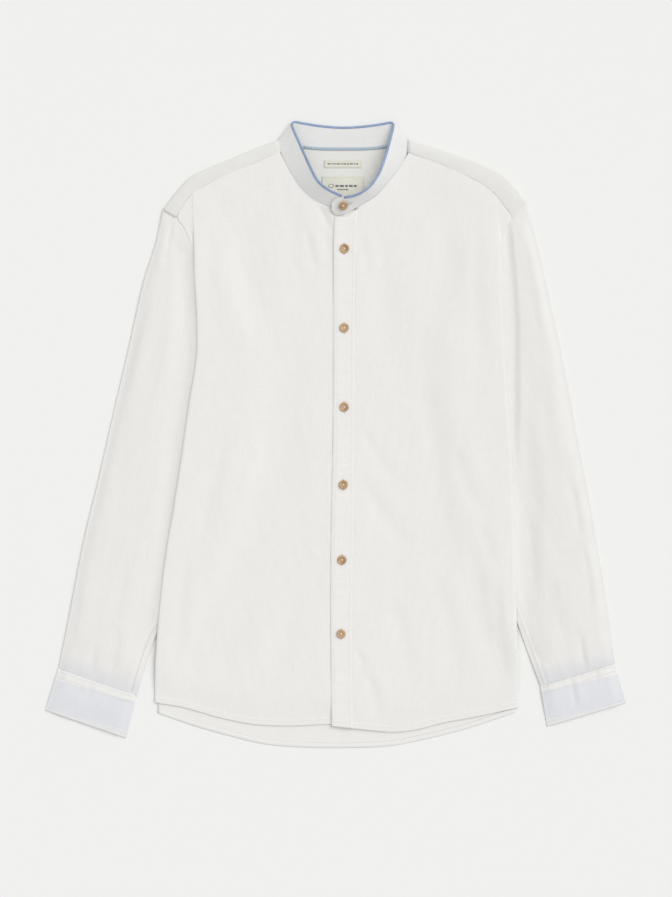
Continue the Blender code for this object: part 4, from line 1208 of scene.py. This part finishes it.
def button_mesh(finish):
    """A turned four-hole button with a rounded rim and a dished face."""
    radius, height = BUTTON_RADIUS, BUTTON_HEIGHT
    control = np.array([(0.001, 0.60), (0.30, 0.60), (0.46, 0.66), (0.60, 0.86), (0.74, 1), (0.90, 0.93),
                        (1, 0.62), (0.96, 0.28), (0.80, 0.02), (0.55, 0), (0.001, 0)])
    profile = resample(control, 44)
    profile[:, 1] = np.clip(profile[:, 1], 0, 1)
    mesh = bpy.data.meshes.new("button")
    mesh.from_pydata([(r * radius * MM, 0, z * height * MM) for r, z in profile],
                     [(i, i + 1) for i in range(len(profile) - 1)], [])
    turned = linked("button_turned", mesh)
    turn = turned.modifiers.new("turn", "SCREW")
    turn.axis = "Z"
    turn.steps = 56
    turn.render_steps = 56
    turn.use_merge_vertices = True
    turn.merge_threshold = 0.00001
    cutter_mesh = bpy.data.meshes.new("holes")
    work = bmesh.new()
    for sx, sy in ((1, 1), (1, -1), (-1, 1), (-1, -1)):
        place = Matrix.Translation((sx * HOLE_OFFSET * MM, sy * HOLE_OFFSET * MM, 0))
        bmesh.ops.create_cone(work, cap_ends=True, segments=16, radius1=BUTTON_HOLE * MM,
                              radius2=BUTTON_HOLE * MM, depth=8 * MM, matrix=place)
    work.to_mesh(cutter_mesh)
    work.free()
    cutter = linked("holes", cutter_mesh)
    cut = turned.modifiers.new("holes", "BOOLEAN")
    cut.operation = "DIFFERENCE"
    cut.object = cutter
    graph = bpy.context.evaluated_depsgraph_get()
    result = bpy.data.meshes.new_from_object(turned.evaluated_get(graph))
    bpy.data.objects.remove(turned, do_unlink=True)
    bpy.data.objects.remove(cutter, do_unlink=True)
    result.materials.clear()
    result.materials.append(finish)
    result.shade_smooth()
    result.set_sharp_from_angle(angle=math.radians(50))
    return result


def thread_bar(start, end, radius, rise):
    """A short thread that arches from one hole to another: points of rings and their faces."""
    start, end = np.array(start), np.array(end)
    ahead = unit(end - start)
    side = np.array((-ahead[1], ahead[0], 0))
    rings, around = 9, 8
    points, faces = [], []
    for i in range(rings):
        t = i / (rings - 1)
        arch = rise * math.sin(math.pi * t) - 0.9 * (2 * t - 1) ** 6
        centre = start + (end - start) * t + np.array((0, 0, arch))
        for k in range(around):
            a = 2 * math.pi * k / around
            lift = np.array((0, 0, radius * math.sin(a)))
            points.append(tuple(centre + side * radius * math.cos(a) + lift))
    for i in range(rings - 1):
        for k in range(around):
            j = (k + 1) % around
            faces.append((i * around + k, (i + 1) * around + k, (i + 1) * around + j, i * around + j))
    faces.append(tuple(range(around)))
    faces.append(tuple((rings - 1) * around + k for k in reversed(range(around))))
    return points, faces


def make_buttons():
    finish = button_finish()
    shape = button_mesh(finish)
    places = [(*COLLAR_BUTTON, 15.9, 24)]
    for x, y in FRONT_BUTTONS:
        near = [float(placket_top(np.array([x]), np.array([y + dy]))[0]) for dy in (-4, 0, 4)]
        places.append((x, y, max(near) + 0.1, 0))
    threads = []
    dish = 0.60 * BUTTON_HEIGHT
    for i, (x, y, z, tilt) in enumerate(places):
        spin = math.radians(37 * i + 9)
        place = (Matrix.Translation((x * MM, y * MM, z * MM)) @ Matrix.Rotation(math.radians(tilt), 4, "X")
                 @ Matrix.Rotation(spin, 4, "Z"))
        mesh = shape.copy()
        mesh.transform(place)
        settle(linked("button_%d_turned" % (i + 1), mesh), ["button_%d" % (i + 1)])
        for sign in (-1, 1):
            for offset in (-0.3, 0.3):
                start = (sign * HOLE_OFFSET - offset, -HOLE_OFFSET, dish)
                end = (-sign * HOLE_OFFSET - offset, HOLE_OFFSET, dish)
                points, faces = thread_bar(start, end, 0.33, 0.55 + 0.18 * sign)
                placed = [tuple((place @ (Vector(p) * MM)) / MM) for p in points]
                threads.append((placed, faces))
    joined_marks("button_threads", threads, thread_white)


def make_buttonholes():
    """Worked buttonholes: a slit between two rows of close thread loops."""
    loops = []
    length, spacing, reach = 15, 0.42, 0.62

    def loop(centre, along, across, up):
        """One small thread loop lying across the edge of the slit."""
        points = []
        for t, w in ((-1, 0.5), (-0.5, 1), (0.5, 1), (1, 0.5)):
            for s, n in ((1, 0), (0, 1), (-1, 0), (0, -1)):
                points.append(tuple(centre + across * reach * t + along * 0.19 * w * s
                                    + up * (0.2 * w * n + 0.16 * (1 - t * t) + 0.05)))
        loops.append((points, [tuple(int(i) for i in face) for face in STITCH_FACES]))

    for index, (x, y) in enumerate(FRONT_BUTTONS):
        for step in np.arange(-0.5 * length, 0.5 * length + 0.01, spacing):
            for sign in (-1, 1):
                place = np.array((x + sign * 0.8, y + step))
                z = float(placket_top(place[0:1], place[1:2])[0])
                loop(np.array((place[0], place[1], z)), np.array((0, 1, 0)), np.array((1, 0, 0)),
                     np.array((0, 0, 1)))
    b, u, f, o = band_frame(np.linspace(22.9, 24.9, 200))
    middle = b + u * (0.52 * f)[:, None]
    travelled = np.concatenate([[0], np.cumsum(np.linalg.norm(np.diff(middle, axis=0), axis=1))])
    for distance in np.arange(2, min(17, travelled[-1]), spacing):
        k = int(np.searchsorted(travelled, distance))
        ahead = unit(middle[k] - middle[k - 1])
        for sign in (-1, 1):
            loop(middle[k] + u[k] * sign * 0.8, ahead, u[k], o[k])
    joined_marks("buttonholes", loops, thread_white)


# ---- building it ----

back_piece, back_hem = make_back()
yoke_piece = make_yoke()
front_pieces = {side: make_front(side) for side in (-1, 1)}
placket_piece = make_placket()
sleeve_pieces = {side: make_sleeve(side) for side in (-1, 1)}
cuff_pieces = {side: make_cuff(side) for side in (-1, 1)}
band_piece = make_band()
make_binding()
make_tape()
label_pieces = make_labels()
make_buttons()
make_buttonholes()
make_stitches(thread_white)

# ---- the setting ----

bpy.ops.mesh.primitive_grid_add(x_subdivisions=4, y_subdivisions=4, size=8, location=(0, 0, -0.0002))
floor = bpy.context.object
floor.name = "floor"
floor.data.materials.append(floor_finish())

WORLD_STRENGTH = 0.585
world = bpy.data.worlds.new("studio")
world.use_nodes = True
world.node_tree.nodes["Background"].inputs["Color"].default_value = (1, 1, 1, 1)
world.node_tree.nodes["Background"].inputs["Strength"].default_value = WORLD_STRENGTH
bpy.context.scene.world = world


def sun(name, towards, strength, spread):
    """A very wide soft light from the direction given."""
    light = bpy.data.lights.new(name, "SUN")
    light.energy = strength
    light.angle = spread
    lamp = linked(name, light)
    lamp.rotation_mode = "QUATERNION"
    lamp.rotation_quaternion = Vector(towards).to_track_quat("Z", "Y")


sun("key", (0.60, 0.44, 0.97), 1.50, math.radians(54))
sun("fill", (-0.6, -0.2, 1), 0.12, math.radians(60))

VIEW_CENTRE = (-0.0089, -0.0184)      # the point of the table under the camera
VIEW_HEIGHT = 1.1392                  # of the table that the camera takes in, along Y
CAMERA_DISTANCE = 3
camera = bpy.data.cameras.new("camera")
camera.sensor_width = 36
camera.lens = camera.sensor_width * CAMERA_DISTANCE / VIEW_HEIGHT
camera.clip_start = 0.1
camera.clip_end = 20
camera_object = linked("camera", camera)
camera_object.location = (*VIEW_CENTRE, CAMERA_DISTANCE)
bpy.context.scene.camera = camera_object
bpy.context.scene.view_settings.view_transform = "Standard"
